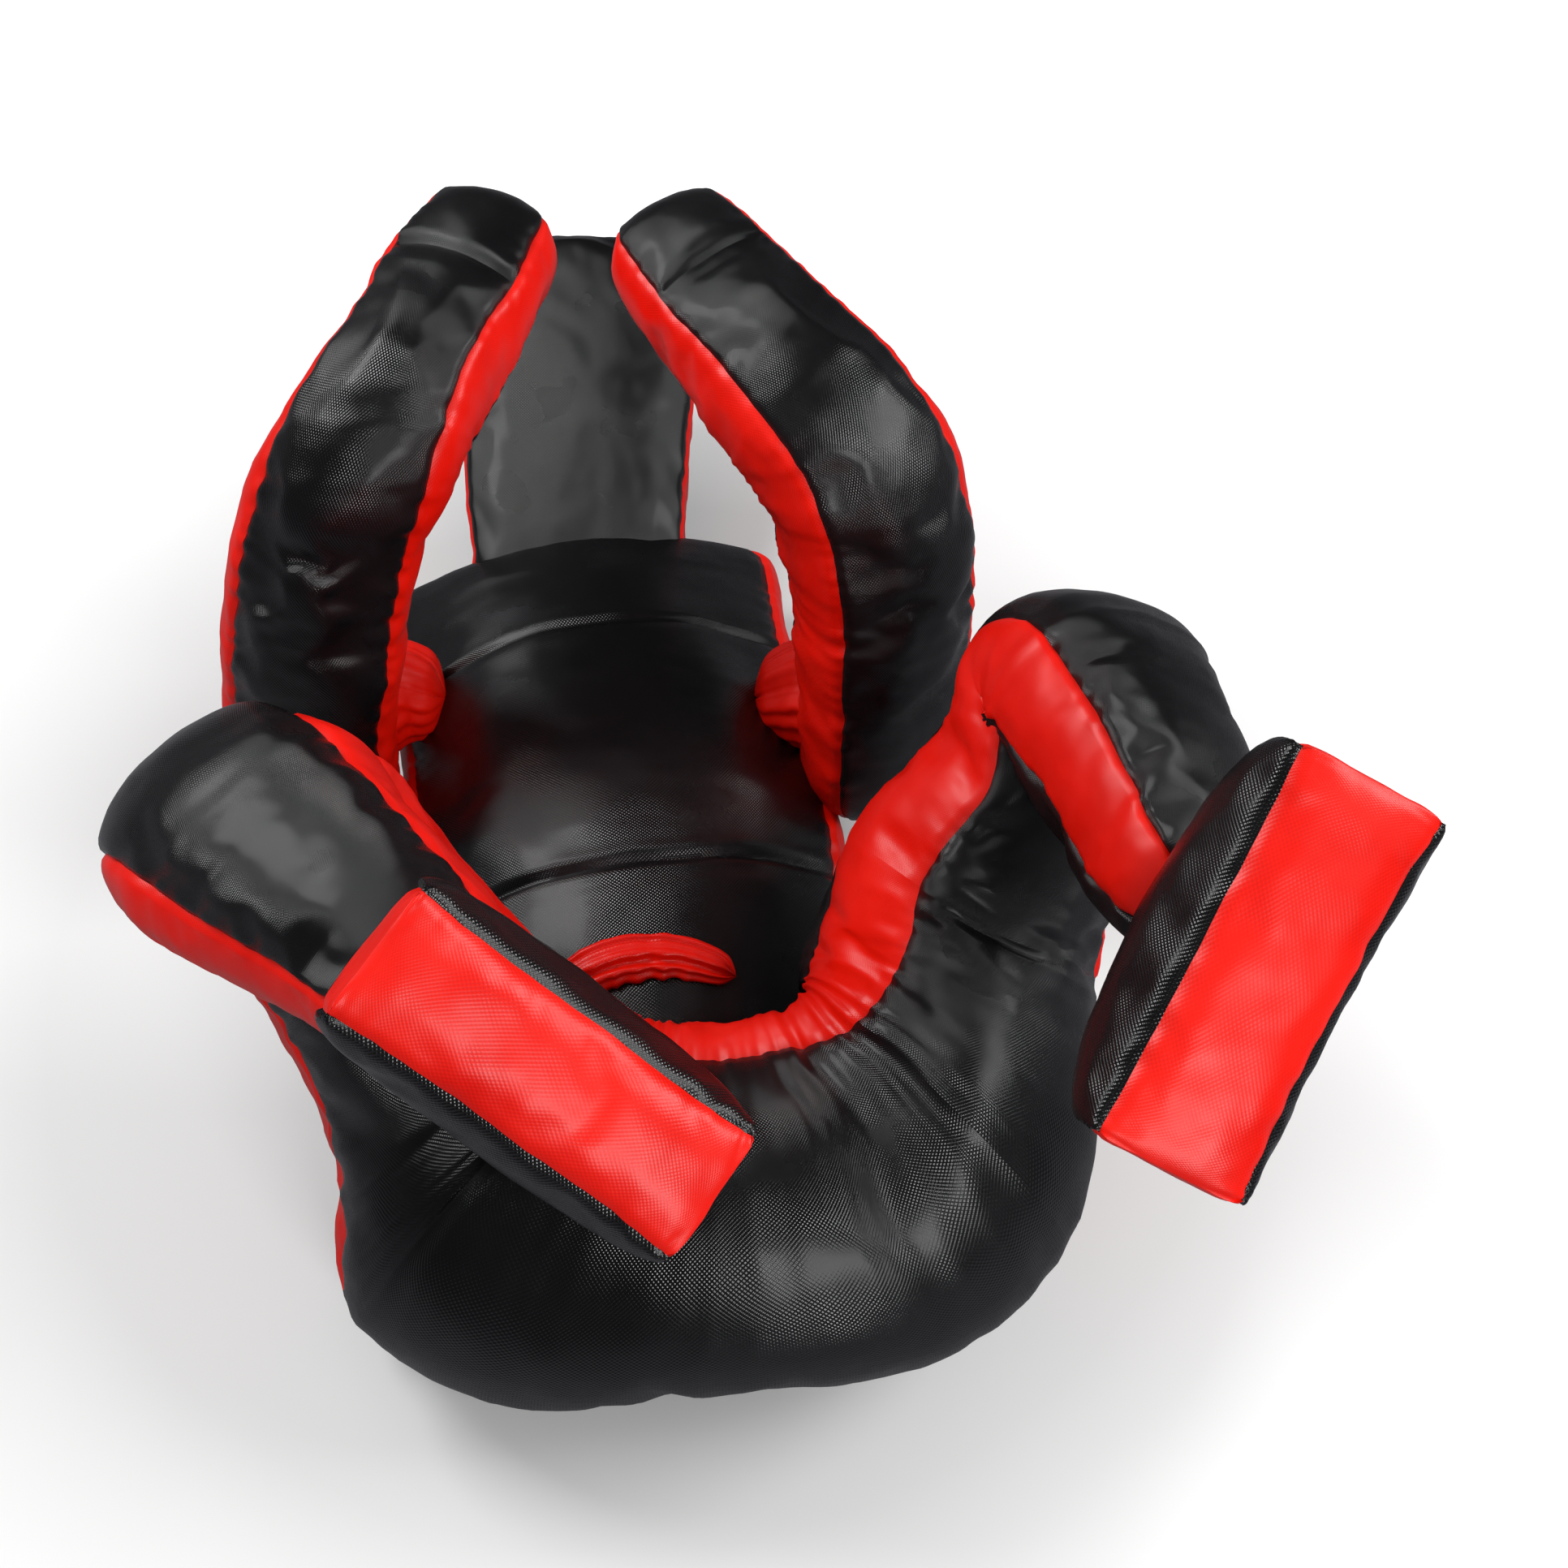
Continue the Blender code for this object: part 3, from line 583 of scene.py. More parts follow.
@dataclass(kw_only=True)
class Sleeve(Stuffed):
    """A long form: a tube of two faces and two strips, laid through sections.

    Args:
        stations: Its control sections.
        flip: 1 or -1, which way the front lies from the inner strip.
        cap_start: Length over which the first end rounds off.
        cap_end: Length over which the last end rounds off.
        side_crown: Share of the half width that the strips bulge.
        seams_across: Places along the sleeve with a seam across the front.
        pleats: Number of lengthwise pleats round a gathered gusset.
        pleat_depth: Share of its size by which a pleat falls in.
    """

    stations: tuple[Station, ...]
    flip: int = 1
    cap_start: float = 0.03
    cap_end: float = 0.03
    side_crown: float = 0.14
    seams_across: tuple[float, ...] = ()
    pleats: int = 0
    pleat_depth: float = 0.0

    def __post_init__(self) -> None:
        """Lay out the rows of the sleeve."""
        knots = np.array([[*s.place, *s.inner, s.half_width, s.half_thick, s.strip] for s in self.stations])
        rough = np.linalg.norm(np.diff(knots[:, :3], axis=0), axis=1).sum()
        self.rows = max(FEWEST_ROWS, round(rough / ROW_STEP))
        line = spline(knots, self.rows + 1)
        self.centres = line[:, :3]
        self.run = np.concatenate(
            [[0.0], np.cumsum(np.linalg.norm(np.diff(self.centres, axis=0), axis=1))]
        )
        along = np.gradient(self.centres, axis=0)
        along /= np.linalg.norm(along, axis=1, keepdims=True)
        self.inner = line[:, 3:6] / np.linalg.norm(line[:, 3:6], axis=1, keepdims=True)
        front = np.cross(self.inner, along)
        self.front = self.flip * front / np.linalg.norm(front, axis=1, keepdims=True)
        self.sizes = line[:, 6:8]
        self.strip = line[:, 8]

    def ring_point(self, row: int, column: int) -> tuple[Vector, Side]:
        """Point of the form at a row and a column.

        Args:
            row: Row number.
            column: Column number round the ring.

        Returns:
            The point, and the side that begins at that column.
        """
        width, thick = self.sizes[row] * self.round_off(row)
        a, b = width * (1.0 - self.side_crown), thick * self.strip[row]
        face, strip = FACE_COLUMNS, SIDE_COLUMNS
        column %= 2 * (face + strip)
        half, step = divmod(column, face + strip)
        sign = -1.0 if half else 1.0
        if step < face:
            side = Side.BACK if half else Side.FRONT
            p, bulge = bulging(step / face, (thick - b) / max(a, TINY))
            p, q = a * p * sign, (b + (thick - b) * bulge) * sign
        else:
            side = Side.INNER if half else Side.OUTER
            t = (step - face) / strip
            p, q = (-a - (width - a) * 4 * t * (1 - t)) * sign, b * (1 - 2 * t) * sign
        if self.pleats:
            fold = 1.0 - self.pleat_depth * (0.5 + 0.5 * math.cos(self.pleats * math.atan2(q, p)))
            p, q = p * fold, q * fold
        point = self.centres[row] + self.inner[row] * p + self.front[row] * q
        return Vector(point), side

    def creases(self, run: np.ndarray, points: np.ndarray, normals: np.ndarray) -> np.ndarray:
        """Height of the creases across the inside of each bend, with arguments as in Stuffed."""
        along = np.gradient(self.centres, self.run, axis=0)
        turn = np.gradient(along, self.run, axis=0)
        window = np.ones(CREASE_WINDOW) / CREASE_WINDOW
        turn = np.column_stack([np.convolve(turn[:, c], window, "same") for c in range(3)])
        here = np.column_stack([np.interp(run, self.run, turn[:, c]) for c in range(3)])
        bend = np.linalg.norm(here, axis=1)
        inside = np.sum(normals * here, axis=1) / np.maximum(bend, TINY)
        share = np.clip(bend / CREASE_BEND, 0.0, 1.0) * (
            CREASE_OUTSIDE + CREASE_INSIDE * np.clip(inside, 0.0, 1.0)
        )
        height, salt = np.zeros(len(points)), CREASE_SALT_STEP * len(self.name)
        for k in np.nonzero(share > CREASE_LEAST)[0]:
            drift = noise.noise(Vector(points[k]) * CREASE_DRIFT)
            wave = noise.noise(Vector((run[k] / CREASE_PITCH + drift, salt, 0.0)))
            height[k] = CREASE_DEPTH * share[k] * (CREASE_RIDGE - abs(wave)) * NOISE_GAIN
        return height

    def round_off(self, row: int) -> float:
        """Share of its size that a row keeps near a rounded end.

        Args:
            row: Row number.

        Returns:
            The share, 1 away from the ends.
        """
        share = 1.0
        for gap, cap in ((self.run[row], self.cap_start), (self.run[-1] - self.run[row], self.cap_end)):
            if cap > 0.0 and gap < cap:
                share = min(share, math.sqrt(max(1.0 - (1.0 - gap / cap) ** 2, 0.0)))
        return max(share, SMALLEST_RING)

    def form(self) -> bpy.types.Object:
        """Make the closed form: a grid rolled into a tube, with its seams, run and cloth UVs noted.

        Returns:
            The form's object.
        """
        columns = 2 * (FACE_COLUMNS + SIDE_COLUMNS)
        breadth = 4.0 * np.sum(self.sizes, axis=1).max() / columns
        corners = (0, FACE_COLUMNS, FACE_COLUMNS + SIDE_COLUMNS, 2 * FACE_COLUMNS + SIDE_COLUMNS, columns)

        def cell(x: float, y: float) -> Cell:
            """Note one point of the sleeve."""
            row, column = round(y * self.rows), round(x * columns)
            spot, side = self.ring_point(row, column)
            gap = min(abs(column - corner) for corner in corners) * breadth
            if column <= FACE_COLUMNS or column == columns:
                gap = min([gap] + [abs(self.run[row] - seam) for seam in self.seams_across])
            return Cell(spot, side, (column * breadth, self.run[row]), self.run[row], gap)

        return sew(self.name, [Patch(columns, self.rows, cell)], TUBE_WELD)


@dataclass(kw_only=True)
class Cushion(Stuffed):
    """A flat form: two faces between a pair of edges, and a strip sewn round between them.

    Args:
        rails: Pairs of points, from one end of the faces to the other, in their own plane.
        place: Turns across, along and away from the middle plane to a point.
        half: Half the strip's width.
        crown: How far the faces bulge.
    """

    rails: list[tuple[tuple[float, float], tuple[float, float]]]
    place: Callable[[float, float, float], Vector]
    half: float
    crown: float

    def flat(self, s: float, t: float) -> np.ndarray:
        """Point of a face in its own plane.

        Args:
            s: Share of the way from edge to edge.
            t: Share of the way from end to end.

        Returns:
            The point.
        """
        pairs = np.array(self.rails)
        spot = t * (len(pairs) - 1)
        low = min(int(spot), len(pairs) - 2)
        one, two = pairs[low] + (pairs[low + 1] - pairs[low]) * (spot - low)
        return one + (two - one) * s

    def form(self) -> bpy.types.Object:
        """Make the closed form from six welded grids: two faces and four stretches of strip.

        Returns:
            The form's object.
        """
        pairs = np.array(self.rails)
        length = float(np.linalg.norm(np.diff(pairs.mean(axis=1), axis=0), axis=1).sum())
        width = float(np.linalg.norm(pairs[:, 1] - pairs[:, 0], axis=1).max())
        down, over = round(length / ROW_STEP), round(width / ROW_STEP)
        through = round(2.0 * self.half / ROW_STEP)

        def face(side: Side, sign: float) -> Patch:
            """Lay out the front or the back."""

            def cell(x: float, y: float) -> Cell:
                """Note one point of the face."""
                flat = self.flat(x, y)
                dome = (4.0 * x * (1.0 - x)) ** DOME_POWER * (4.0 * y * (1.0 - y)) ** DOME_POWER
                spot = self.place(*flat, (self.half + self.crown * dome) * sign)
                gap = min(min(x, 1.0 - x) * width, min(y, 1.0 - y) * length)
                return Cell(spot, side, tuple(flat), x * width + y * length, gap)

            return Patch(over, down, cell)

        def strip(side: Side, columns: int, edge: Callable[[float], tuple[float, float]]) -> Patch:
            """Lay out one stretch of the strip."""

            def cell(x: float, y: float) -> Cell:
                """Note one point of the strip."""
                s, t = edge(x)
                w = self.half * (2.0 * y - 1.0)
                along = s * width + t * length
                return Cell(self.place(*self.flat(s, t), w), side, (along, w), along, self.half - abs(w))

            return Patch(columns, through, cell)

        patches = [
            face(Side.FRONT, 1.0),
            face(Side.BACK, -1.0),
            strip(Side.OUTER, down, lambda x: (0.0, x)),
            strip(Side.INNER, down, lambda x: (1.0, x)),
            strip(Side.OUTER, over, lambda x: (x, 0.0)),
            strip(Side.OUTER, over, lambda x: (x, 1.0)),
        ]
        return sew(self.name, patches, CUSHION_WELD)


def values_of(mesh: bpy.types.Mesh, name: str) -> np.ndarray:
    """Read a number that each point of a mesh carries.

    Args:
        mesh: The mesh.
        name: The number's name.

    Returns:
        One number a point.
    """
    found = np.zeros(len(mesh.vertices), np.float32)
    mesh.attributes[name].data.foreach_get("value", found)
    return found


def points_of(mesh: bpy.types.Mesh, kind: str = "co") -> np.ndarray:
    """Read a mesh's points or normals.

    Args:
        mesh: The mesh.
        kind: "co" or "normal".

    Returns:
        One row a point.
    """
    found = np.zeros(len(mesh.vertices) * 3, np.float32)
    mesh.vertices.foreach_get(kind, found)
    return found.reshape(-1, 3).astype(float)


def put_points(mesh: bpy.types.Mesh, points: np.ndarray) -> None:
    """Write a mesh's points.

    Args:
        mesh: The mesh.
        points: One row a point.
    """
    mesh.vertices.foreach_set("co", points.astype(np.float32).ravel())
    mesh.update()


def inflate(item: bpy.types.Object, stuffed: Stuffed) -> None:
    """Fill a form with a short cloth simulation whose seams are drawn up, then keep the result.

    Args:
        item: The form.
        stuffed: What is made of it.
    """
    mesh = item.data
    before = points_of(mesh)
    group = item.vertex_groups.new(name="drawn")
    for k, gap in enumerate(values_of(mesh, "seam")):
        group.add([k], max(0.0, 1.0 - float(gap) / SEAM_REACH), "REPLACE")
    cloth = item.modifiers.new("filling", "CLOTH")
    settings = cloth.settings
    for key, value in FILL_CLOTH.items():
        setattr(settings, key, value)
    settings.vertex_group_shrink = "drawn"
    settings.shrink_min = -stuffed.growth
    settings.shrink_max = stuffed.gather
    settings.effector_weights.gravity = 0.0
    cloth.collision_settings.use_collision = False
    cloth.point_cache.frame_start = 1
    cloth.point_cache.frame_end = FILL_FRAMES
    scene = bpy.context.scene
    for step in range(1, FILL_FRAMES + 1):
        scene.frame_set(step)
    graph = bpy.context.evaluated_depsgraph_get()
    after = points_of(item.evaluated_get(graph).data)
    item.modifiers.remove(cloth)
    item.vertex_groups.remove(group)
    scene.frame_set(1)
    shift = after - before
    shift -= shift.mean(axis=0)
    size = np.linalg.norm(shift, axis=1, keepdims=True)
    shift *= np.tanh(size / stuffed.cap_move) * stuffed.cap_move / np.maximum(size, STILL)
    put_points(mesh, before + shift)


def finish_skin(item: bpy.types.Object, stuffed: Stuffed) -> None:
    """Smooth the filled form, draw its seams in, pucker it beside them and rest it on the floor.

    Args:
        item: The filled form.
        stuffed: What is made of it.
    """
    finer = item.modifiers.new("finer", "SUBSURF")
    finer.levels = 1
    finer.render_levels = 1
    graph = bpy.context.evaluated_depsgraph_get()
    mesh = bpy.data.meshes.new_from_object(item.evaluated_get(graph), depsgraph=graph)
    item.modifiers.remove(finer)
    item.data = mesh
    points, normals = points_of(mesh), points_of(mesh, "normal")
    run, seam = values_of(mesh, "run"), values_of(mesh, "seam")
    salt = sum(map(ord, stuffed.name)) * SALT_STEP
    lift = np.zeros(len(points))
    for k, point in enumerate(points):
        near = math.exp(-((seam[k] / PUCKER_REACH) ** 2))
        if near > PUCKER_LEAST:
            ridge = noise.noise(Vector((run[k] / PUCKER_PITCH, salt, seam[k] / PUCKER_ACROSS)))
            lift[k] += stuffed.pucker * near * ridge * NOISE_GAIN
        broad = noise.fractal(Vector(point) * DENT_SCALE + Vector((salt, 0.0, 0.0)), *DENT_FRACTAL)
        lift[k] += BROAD_DENT * broad
    lift += stuffed.creases(run, points, normals)
    lift -= SEAM_DEPTH * np.exp(-((seam / SEAM_HALF) ** 2))
    points += normals * lift[:, None]
    low = points[:, 2] < FLOOR_SOFT
    squeeze = np.exp((points[low, 2] - FLOOR_SOFT) / FLOOR_SOFT)
    points[low, 2] = FLOOR_CLEAR + (FLOOR_SOFT - FLOOR_CLEAR) * squeeze
    put_points(mesh, points)
    mesh.shade_smooth()


def part_panels(item: bpy.types.Object, stuffed: Stuffed, vinyls: dict[Finish, bpy.types.Material]) -> None:
    """Part a finished skin into its sewn panels and hang each on the frame.

    Args:
        item: The finished skin.
        stuffed: What is made of it.
        vinyls: The two materials.
    """
    source = item.data
    run = values_of(source, "run")
    panels: dict[str, Panel] = {}
    groups: dict[str, set[int]] = {}
    for face in source.polygons:
        place = float(np.mean([run[v] for v in face.vertices]))
        panel = stuffed.panel_at(place, face.center, Side(face.material_index))
        panels[panel.name] = panel
        groups.setdefault(panel.name, set()).add(face.index)
    for name, keep in groups.items():
        panel = panels[name]
        shape = bmesh.new()
        shape.from_mesh(source)
        shape.faces.ensure_lookup_table()
        spare = [face for face in shape.faces if face.index not in keep]
        bmesh.ops.delete(shape, geom=spare, context="FACES")
        for face in shape.faces:
            face.material_index = 0
        mesh = to_mesh(panel.name, shape)
        mesh.shade_smooth()
        mesh.materials.append(vinyls[panel.finish])
        hang(add_object(panel.name, mesh), panel)
        LOG.info("%s: %d faces", panel.name, len(mesh.polygons))
    bpy.data.objects.remove(item, do_unlink=True)


def hang(piece: bpy.types.Object, panel: Panel) -> None:
    """Tie a finished piece to its body on the frame, or, if it spans a bend, only bake its place into its
    mesh, untied.

    Args:
        piece: The piece.
        panel: What it is.
    """
    carry = panel.carry
    if carry.near:
        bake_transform(piece)
    else:
        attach(piece, carry.body)
    if panel.replaces:
        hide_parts(*panel.replaces)


def build(stuffed: Stuffed, vinyls: dict[Finish, bpy.types.Material]) -> None:
    """Make one stuffed form, from its shape to its panels.

    Args:
        stuffed: What is made.
        vinyls: The two materials.
    """
    item = stuffed.form()
    if stuffed.growth > 0.0:
        inflate(item, stuffed)
    finish_skin(item, stuffed)
    part_panels(item, stuffed, vinyls)


SHOULDER = {"left": Vector((-0.2455, 0.1303, 0.1200)), "right": Vector((0.2145, 0.0697, 0.1200))}
ELBOW = {"left": Vector((-0.1692, 0.1743, 0.3911)), "right": Vector((0.2094, 0.1287, 0.3988))}
HIP = {"left": Vector((-0.1599, -0.2844, 0.1295)), "right": Vector((0.1599, -0.2956, 0.1295))}
KNEE = {"left": Vector((-0.2580, -0.0681, 0.4027)), "right": Vector((0.2822, -0.0838, 0.3964))}
ANKLE = {"left": Vector((-0.1229, -0.2715, 0.4232)), "right": Vector((0.3262, -0.3212, 0.4381))}
NECK = Vector((-0.0155, 0.300, 0.062))
ARM_FLIP = {"left": 1, "right": -1}
LIMB_WORDS = {
    Side.FRONT: "front",
    Side.BACK: "back",
    Side.INNER: "inner_strip",
    Side.OUTER: "outer_strip",
}

ARMS = {
    "right": (
        Station((0.2130, 0.058, 0.062), (-0.97, -0.20, 0.0), 0.058, 0.048),
        Station((0.2150, 0.068, 0.140), (-0.96, -0.25, 0.02), 0.067, 0.052),
        Station((0.2185, 0.086, 0.220), (-0.95, -0.28, 0.03), 0.075, 0.054),
        Station((0.2200, 0.103, 0.295), (-0.95, -0.30, 0.03), 0.078, 0.055),
        Station((0.2130, 0.118, 0.355), (-0.94, -0.33, 0.02), 0.077, 0.054),
        Station((0.1990, 0.138, 0.407), (-0.92, -0.38, 0.0), 0.074, 0.052),
        Station((0.1750, 0.170, 0.440), (-0.88, -0.46, -0.05), 0.071, 0.051),
        Station((0.1450, 0.217, 0.456), (-0.86, -0.49, -0.05), 0.066, 0.048),
        Station((0.1130, 0.275, 0.464), (-0.86, -0.50, -0.05), 0.061, 0.045),
        Station((0.0890, 0.322, 0.467), (-0.87, -0.48, -0.05), 0.056, 0.041),
        Station((0.0730, 0.356, 0.468), (-0.88, -0.46, -0.05), 0.052, 0.037),
    ),
    "left": (
        Station((-0.2500, 0.122, 0.062), (0.97, -0.10, -0.20), 0.060, 0.048, 0.62),
        Station((-0.2480, 0.132, 0.140), (0.96, -0.12, -0.22), 0.070, 0.052, 0.60),
        Station((-0.2330, 0.147, 0.220), (0.95, -0.14, -0.25), 0.077, 0.054, 0.58),
        Station((-0.2130, 0.163, 0.295), (0.95, -0.15, -0.25), 0.079, 0.055, 0.58),
        Station((-0.1910, 0.174, 0.357), (0.94, -0.20, -0.22), 0.078, 0.054, 0.58),
        Station((-0.1650, 0.186, 0.405), (0.92, -0.30, -0.15), 0.075, 0.052, 0.60),
        Station((-0.1340, 0.210, 0.438), (0.88, -0.44, -0.06), 0.071, 0.051, 0.62),
        Station((-0.1020, 0.252, 0.456), (0.84, -0.53, -0.03), 0.066, 0.048, 0.64),
        Station((-0.0650, 0.313, 0.464), (0.83, -0.55, -0.03), 0.061, 0.045, 0.66),
        Station((-0.0380, 0.360, 0.467), (0.83, -0.55, -0.03), 0.056, 0.041, 0.68),
        Station((-0.0200, 0.391, 0.467), (0.83, -0.55, -0.03), 0.052, 0.037, 0.70),
    ),
}
LEGS = (
    Station((-0.114, -0.290, 0.425), (0.83, 0.54, 0.08), 0.050, 0.049, 0.62),
    Station((-0.146, -0.240, 0.419), (0.83, 0.54, 0.08), 0.068, 0.054, 0.60),
    Station((-0.200, -0.173, 0.408), (0.82, 0.55, 0.10), 0.086, 0.060, 0.58),
    Station((-0.245, -0.111, 0.396), (0.82, 0.55, 0.12), 0.093, 0.064, 0.56),
    Station((-0.263, -0.080, 0.365), (0.82, 0.54, 0.16), 0.092, 0.065, 0.54),
    between((-0.154, -0.047, 0.356), (-0.296, -0.135, 0.300), 0.064, 0.48),
    between((-0.104, -0.100, 0.302), (-0.262, -0.190, 0.222), 0.074, 0.40),
    between((-0.062, -0.143, 0.248), (-0.250, -0.235, 0.140), 0.090, 0.29),
    between((-0.028, -0.180, 0.224), (-0.258, -0.305, 0.045), 0.110, 0.24),
    between((0.000, -0.203, 0.222), (-0.150, -0.375, 0.030), 0.122, 0.21),
    between((0.040, -0.213, 0.222), (0.030, -0.400, 0.045), 0.128, 0.20),
    between((0.080, -0.215, 0.226), (0.165, -0.395, 0.040), 0.124, 0.23),
    between((0.109, -0.211, 0.248), (0.250, -0.345, 0.058), 0.112, 0.36),
    between((0.131, -0.180, 0.290), (0.290, -0.217, 0.132), 0.094, 0.52),
    between((0.155, -0.136, 0.322), (0.316, -0.166, 0.196), 0.079, 0.66),
    Station((0.280, -0.108, 0.328), (-0.82, 0.03, 0.57), 0.082, 0.066, 0.64),
    Station((0.304, -0.074, 0.374), (-0.888, 0.06, 0.456), 0.082, 0.060, 0.58),
    Station((0.317, -0.096, 0.404), (-0.888, 0.05, 0.456), 0.083, 0.060, 0.56),
    Station((0.321, -0.168, 0.419), (-0.888, 0.05, 0.456), 0.079, 0.057, 0.58),
    Station((0.322, -0.252, 0.434), (-0.888, 0.05, 0.456), 0.063, 0.052, 0.60),
    Station((0.3225, -0.314, 0.448), (-0.888, 0.05, 0.456), 0.047, 0.046, 0.62),
)
TORSO = tuple(
    Station((x, y, z), (1.0, 0.0, 0.0), half_width, half_thick, strip)
    for x, y, z, half_width, half_thick, strip in (
        (-0.0085, -0.205, 0.076, 0.150, 0.076, 0.30),
        (-0.0055, -0.120, 0.082, 0.170, 0.082, 0.30),
        (-0.0035, 0.000, 0.087, 0.187, 0.087, 0.30),
        (-0.0055, 0.100, 0.086, 0.187, 0.086, 0.30),
        (-0.0075, 0.200, 0.079, 0.187, 0.079, 0.31),
        (-0.0105, 0.290, 0.069, 0.187, 0.069, 0.34),
        (-0.0105, 0.380, 0.061, 0.186, 0.059, 0.38),
    )
)


def arm_sleeve(side: str) -> Sleeve:
    """Whole arm: upper arm, forearm and hand as one sewn sleeve.

    Args:
        side: "left" or "right".

    Returns:
        The sleeve.
    """
    stations = ARMS[side]
    upper = (ELBOW[side] - SHOULDER[side]).normalized()
    lower = (Vector(stations[-1].place) - ELBOW[side]).normalized()
    middle = (upper + lower).normalized()
    near, far = f"upper_arm_{side}", f"forearm_{side}"
    reach = middle * ELBOW_BEND
    rigid, bend = Carry(near), Carry(far, near, ELBOW[side] - reach, ELBOW[side] + reach)
    wrist = ELBOW[side] + lower * WRIST_FROM_ELBOW

    def panel_at(run: float, spot: Vector, face: Side) -> Panel:
        """Panel of a spot on the arm."""
        finish = Finish.BLACK if face in (Side.FRONT, Side.BACK) else Finish.RED
        if finish is Finish.BLACK and (spot - wrist).dot(lower) > 0.0:
            return Panel(f"hand_{side}", finish, (f"hand_{side}",), bend)
        beyond = (spot - ELBOW[side]).dot(upper) > -ELBOW_SPLIT
        part, carry = (far, bend) if beyond else (near, rigid)
        name = f"{part}_{LIMB_WORDS[face]}"
        nodes = (name, f"{part}_fill") if face is Side.FRONT else (name,)
        return Panel(name, finish, nodes, carry)

    sleeve = Sleeve(
        name=f"arm_{side}",
        panel_at=panel_at,
        stations=stations,
        flip=ARM_FLIP[side],
        cap_start=0.05,
        cap_end=0.032,
    )
    gaps = [abs((Vector(centre) - wrist).dot(lower)) for centre in sleeve.centres]
    sleeve.seams_across = (float(sleeve.run[int(np.argmin(gaps))]),)
    return sleeve


def leg_sleeve() -> Sleeve:
    """Seat, thighs and shins: one U-shaped sleeve from ankle to ankle.

    Returns:
        The sleeve.
    """
    thigh: dict[str, Carry] = {}
    shin: dict[str, Carry] = {}
    seat_end: dict[str, float] = {}
    thigh_end: dict[str, float] = {}

    def panel_at(run: float, spot: Vector, face: Side) -> Panel:
        """Panel of a spot on the seat or a leg."""
        side = "left" if run < half else "right"
        far = abs(run - half)
        finish = Finish.BLACK if face in (Side.FRONT, Side.BACK) else Finish.RED
        if far < seat_end[side]:
            if face is Side.INNER:
                return Panel("crotch_gusset", Finish.RED, ("crotch_gusset",), Carry("torso"))
            return Panel("seat_panel", Finish.BLACK, ("seat_panel", "seat_fill"), Carry("torso"))
        if far < thigh_end[side]:
            if face is Side.OUTER:
                return Panel(f"thigh_{side}_outer_strip", finish, (), thigh[side])
            name = f"thigh_{side}_inner_strip" if face is Side.INNER else f"thigh_{side}_panel"
            nodes = (name,) if face is Side.INNER else (name, f"thigh_{side}_fill")
            return Panel(name, finish, nodes, thigh[side])
        name = f"shin_{side}_{LIMB_WORDS[face]}"
        nodes = (name, f"shin_{side}_fill") if face is Side.FRONT else (name,)
        return Panel(name, finish, nodes, shin[side])

    sleeve = Sleeve(name="legs", panel_at=panel_at, stations=LEGS)
    half = sleeve.run[-1] / 2.0
    columns = range(2 * (FACE_COLUMNS + SIDE_COLUMNS))
    centre_row = sleeve.rows // 2
    for side, step in (("left", -1), ("right", 1)):
        along = (KNEE[side] - HIP[side]).normalized()
        down = (ANKLE[side] - KNEE[side]).normalized()
        reach = (KNEE[side] - HIP[side]).length
        rows = list(range(centre_row, sleeve.rows if step > 0 else 0, step))
        runs = [(Vector(sleeve.centres[row]) - HIP[side]).dot(along) for row in rows]
        first = next(row for row, run in zip(rows, runs) if run > HIP_SPLIT)
        last = next(row for row, run in zip(rows, runs) if run > reach - KNEE_SPLIT)
        ring = [(sleeve.ring_point(first, column)[0] - HIP[side]).dot(along) for column in columns]
        start = HIP[side] + along * (max(ring) + RING_SPARE)
        end = HIP[side] + along * (reach - KNEE_SPLIT - RING_SPARE)
        thigh[side] = Carry(f"thigh_{side}", "torso", start, end)
        middle = (along + down).normalized()
        start = KNEE[side] - middle * KNEE_BEND_NEAR
        shin[side] = Carry(f"shin_{side}", f"thigh_{side}", start, KNEE[side] + middle * KNEE_BEND_FAR)
        seat_end[side] = abs(float(sleeve.run[first]) - half)
        thigh_end[side] = abs(float(sleeve.run[last]) - half)
    return sleeve


def torso_sleeve() -> Sleeve:
    """Torso: black front in three panels, black back and red sides.

    Returns:
        The sleeve.
    """
    rides = Carry("torso")

    def panel_at(run: float, spot: Vector, face: Side) -> Panel:
        """Panel of a spot on the torso."""
        if face is Side.FRONT:
            if spot.y > YOKE_SEAM_Y:
                return Panel("yoke_panel", Finish.BLACK, ("yoke_panel",), rides)
            if spot.y > WAIST_SEAM_Y:
                return Panel("chest_panel", Finish.BLACK, ("chest_panel", "torso_fill"), rides)
            return Panel("abdomen_panel", Finish.BLACK, ("abdomen_panel",), rides)
        if face is Side.BACK:
            return Panel("back_panel", Finish.BLACK, ("back_panel",), rides)
        name = "torso_side_right" if face is Side.INNER else "torso_side_left"
        return Panel(name, Finish.RED, (name,), rides)

    start = TORSO[0].place[1]
    return Sleeve(
        name="torso",
        panel_at=panel_at,
        stations=TORSO,
        cap_end=0.036,
        side_crown=0.05,
        seams_across=(YOKE_SEAM_Y - start, WAIST_SEAM_Y - start),
    )


HEAD_ALONG = Vector((0.1219, 0.9270, 0.3557))
HEAD_ACROSS = Vector((0.9925, -0.1138, -0.0437))
HEAD_FRONT = Vector((0.0, -0.3584, 0.9336))
HEAD_START = 0.012
HEAD_LENGTH = 0.385
HEAD_TAPER = 0.7
HEAD_NECK_HALF = 0.096
HEAD_TOP_HALF = 0.120
HEAD_CORNER = 0.034


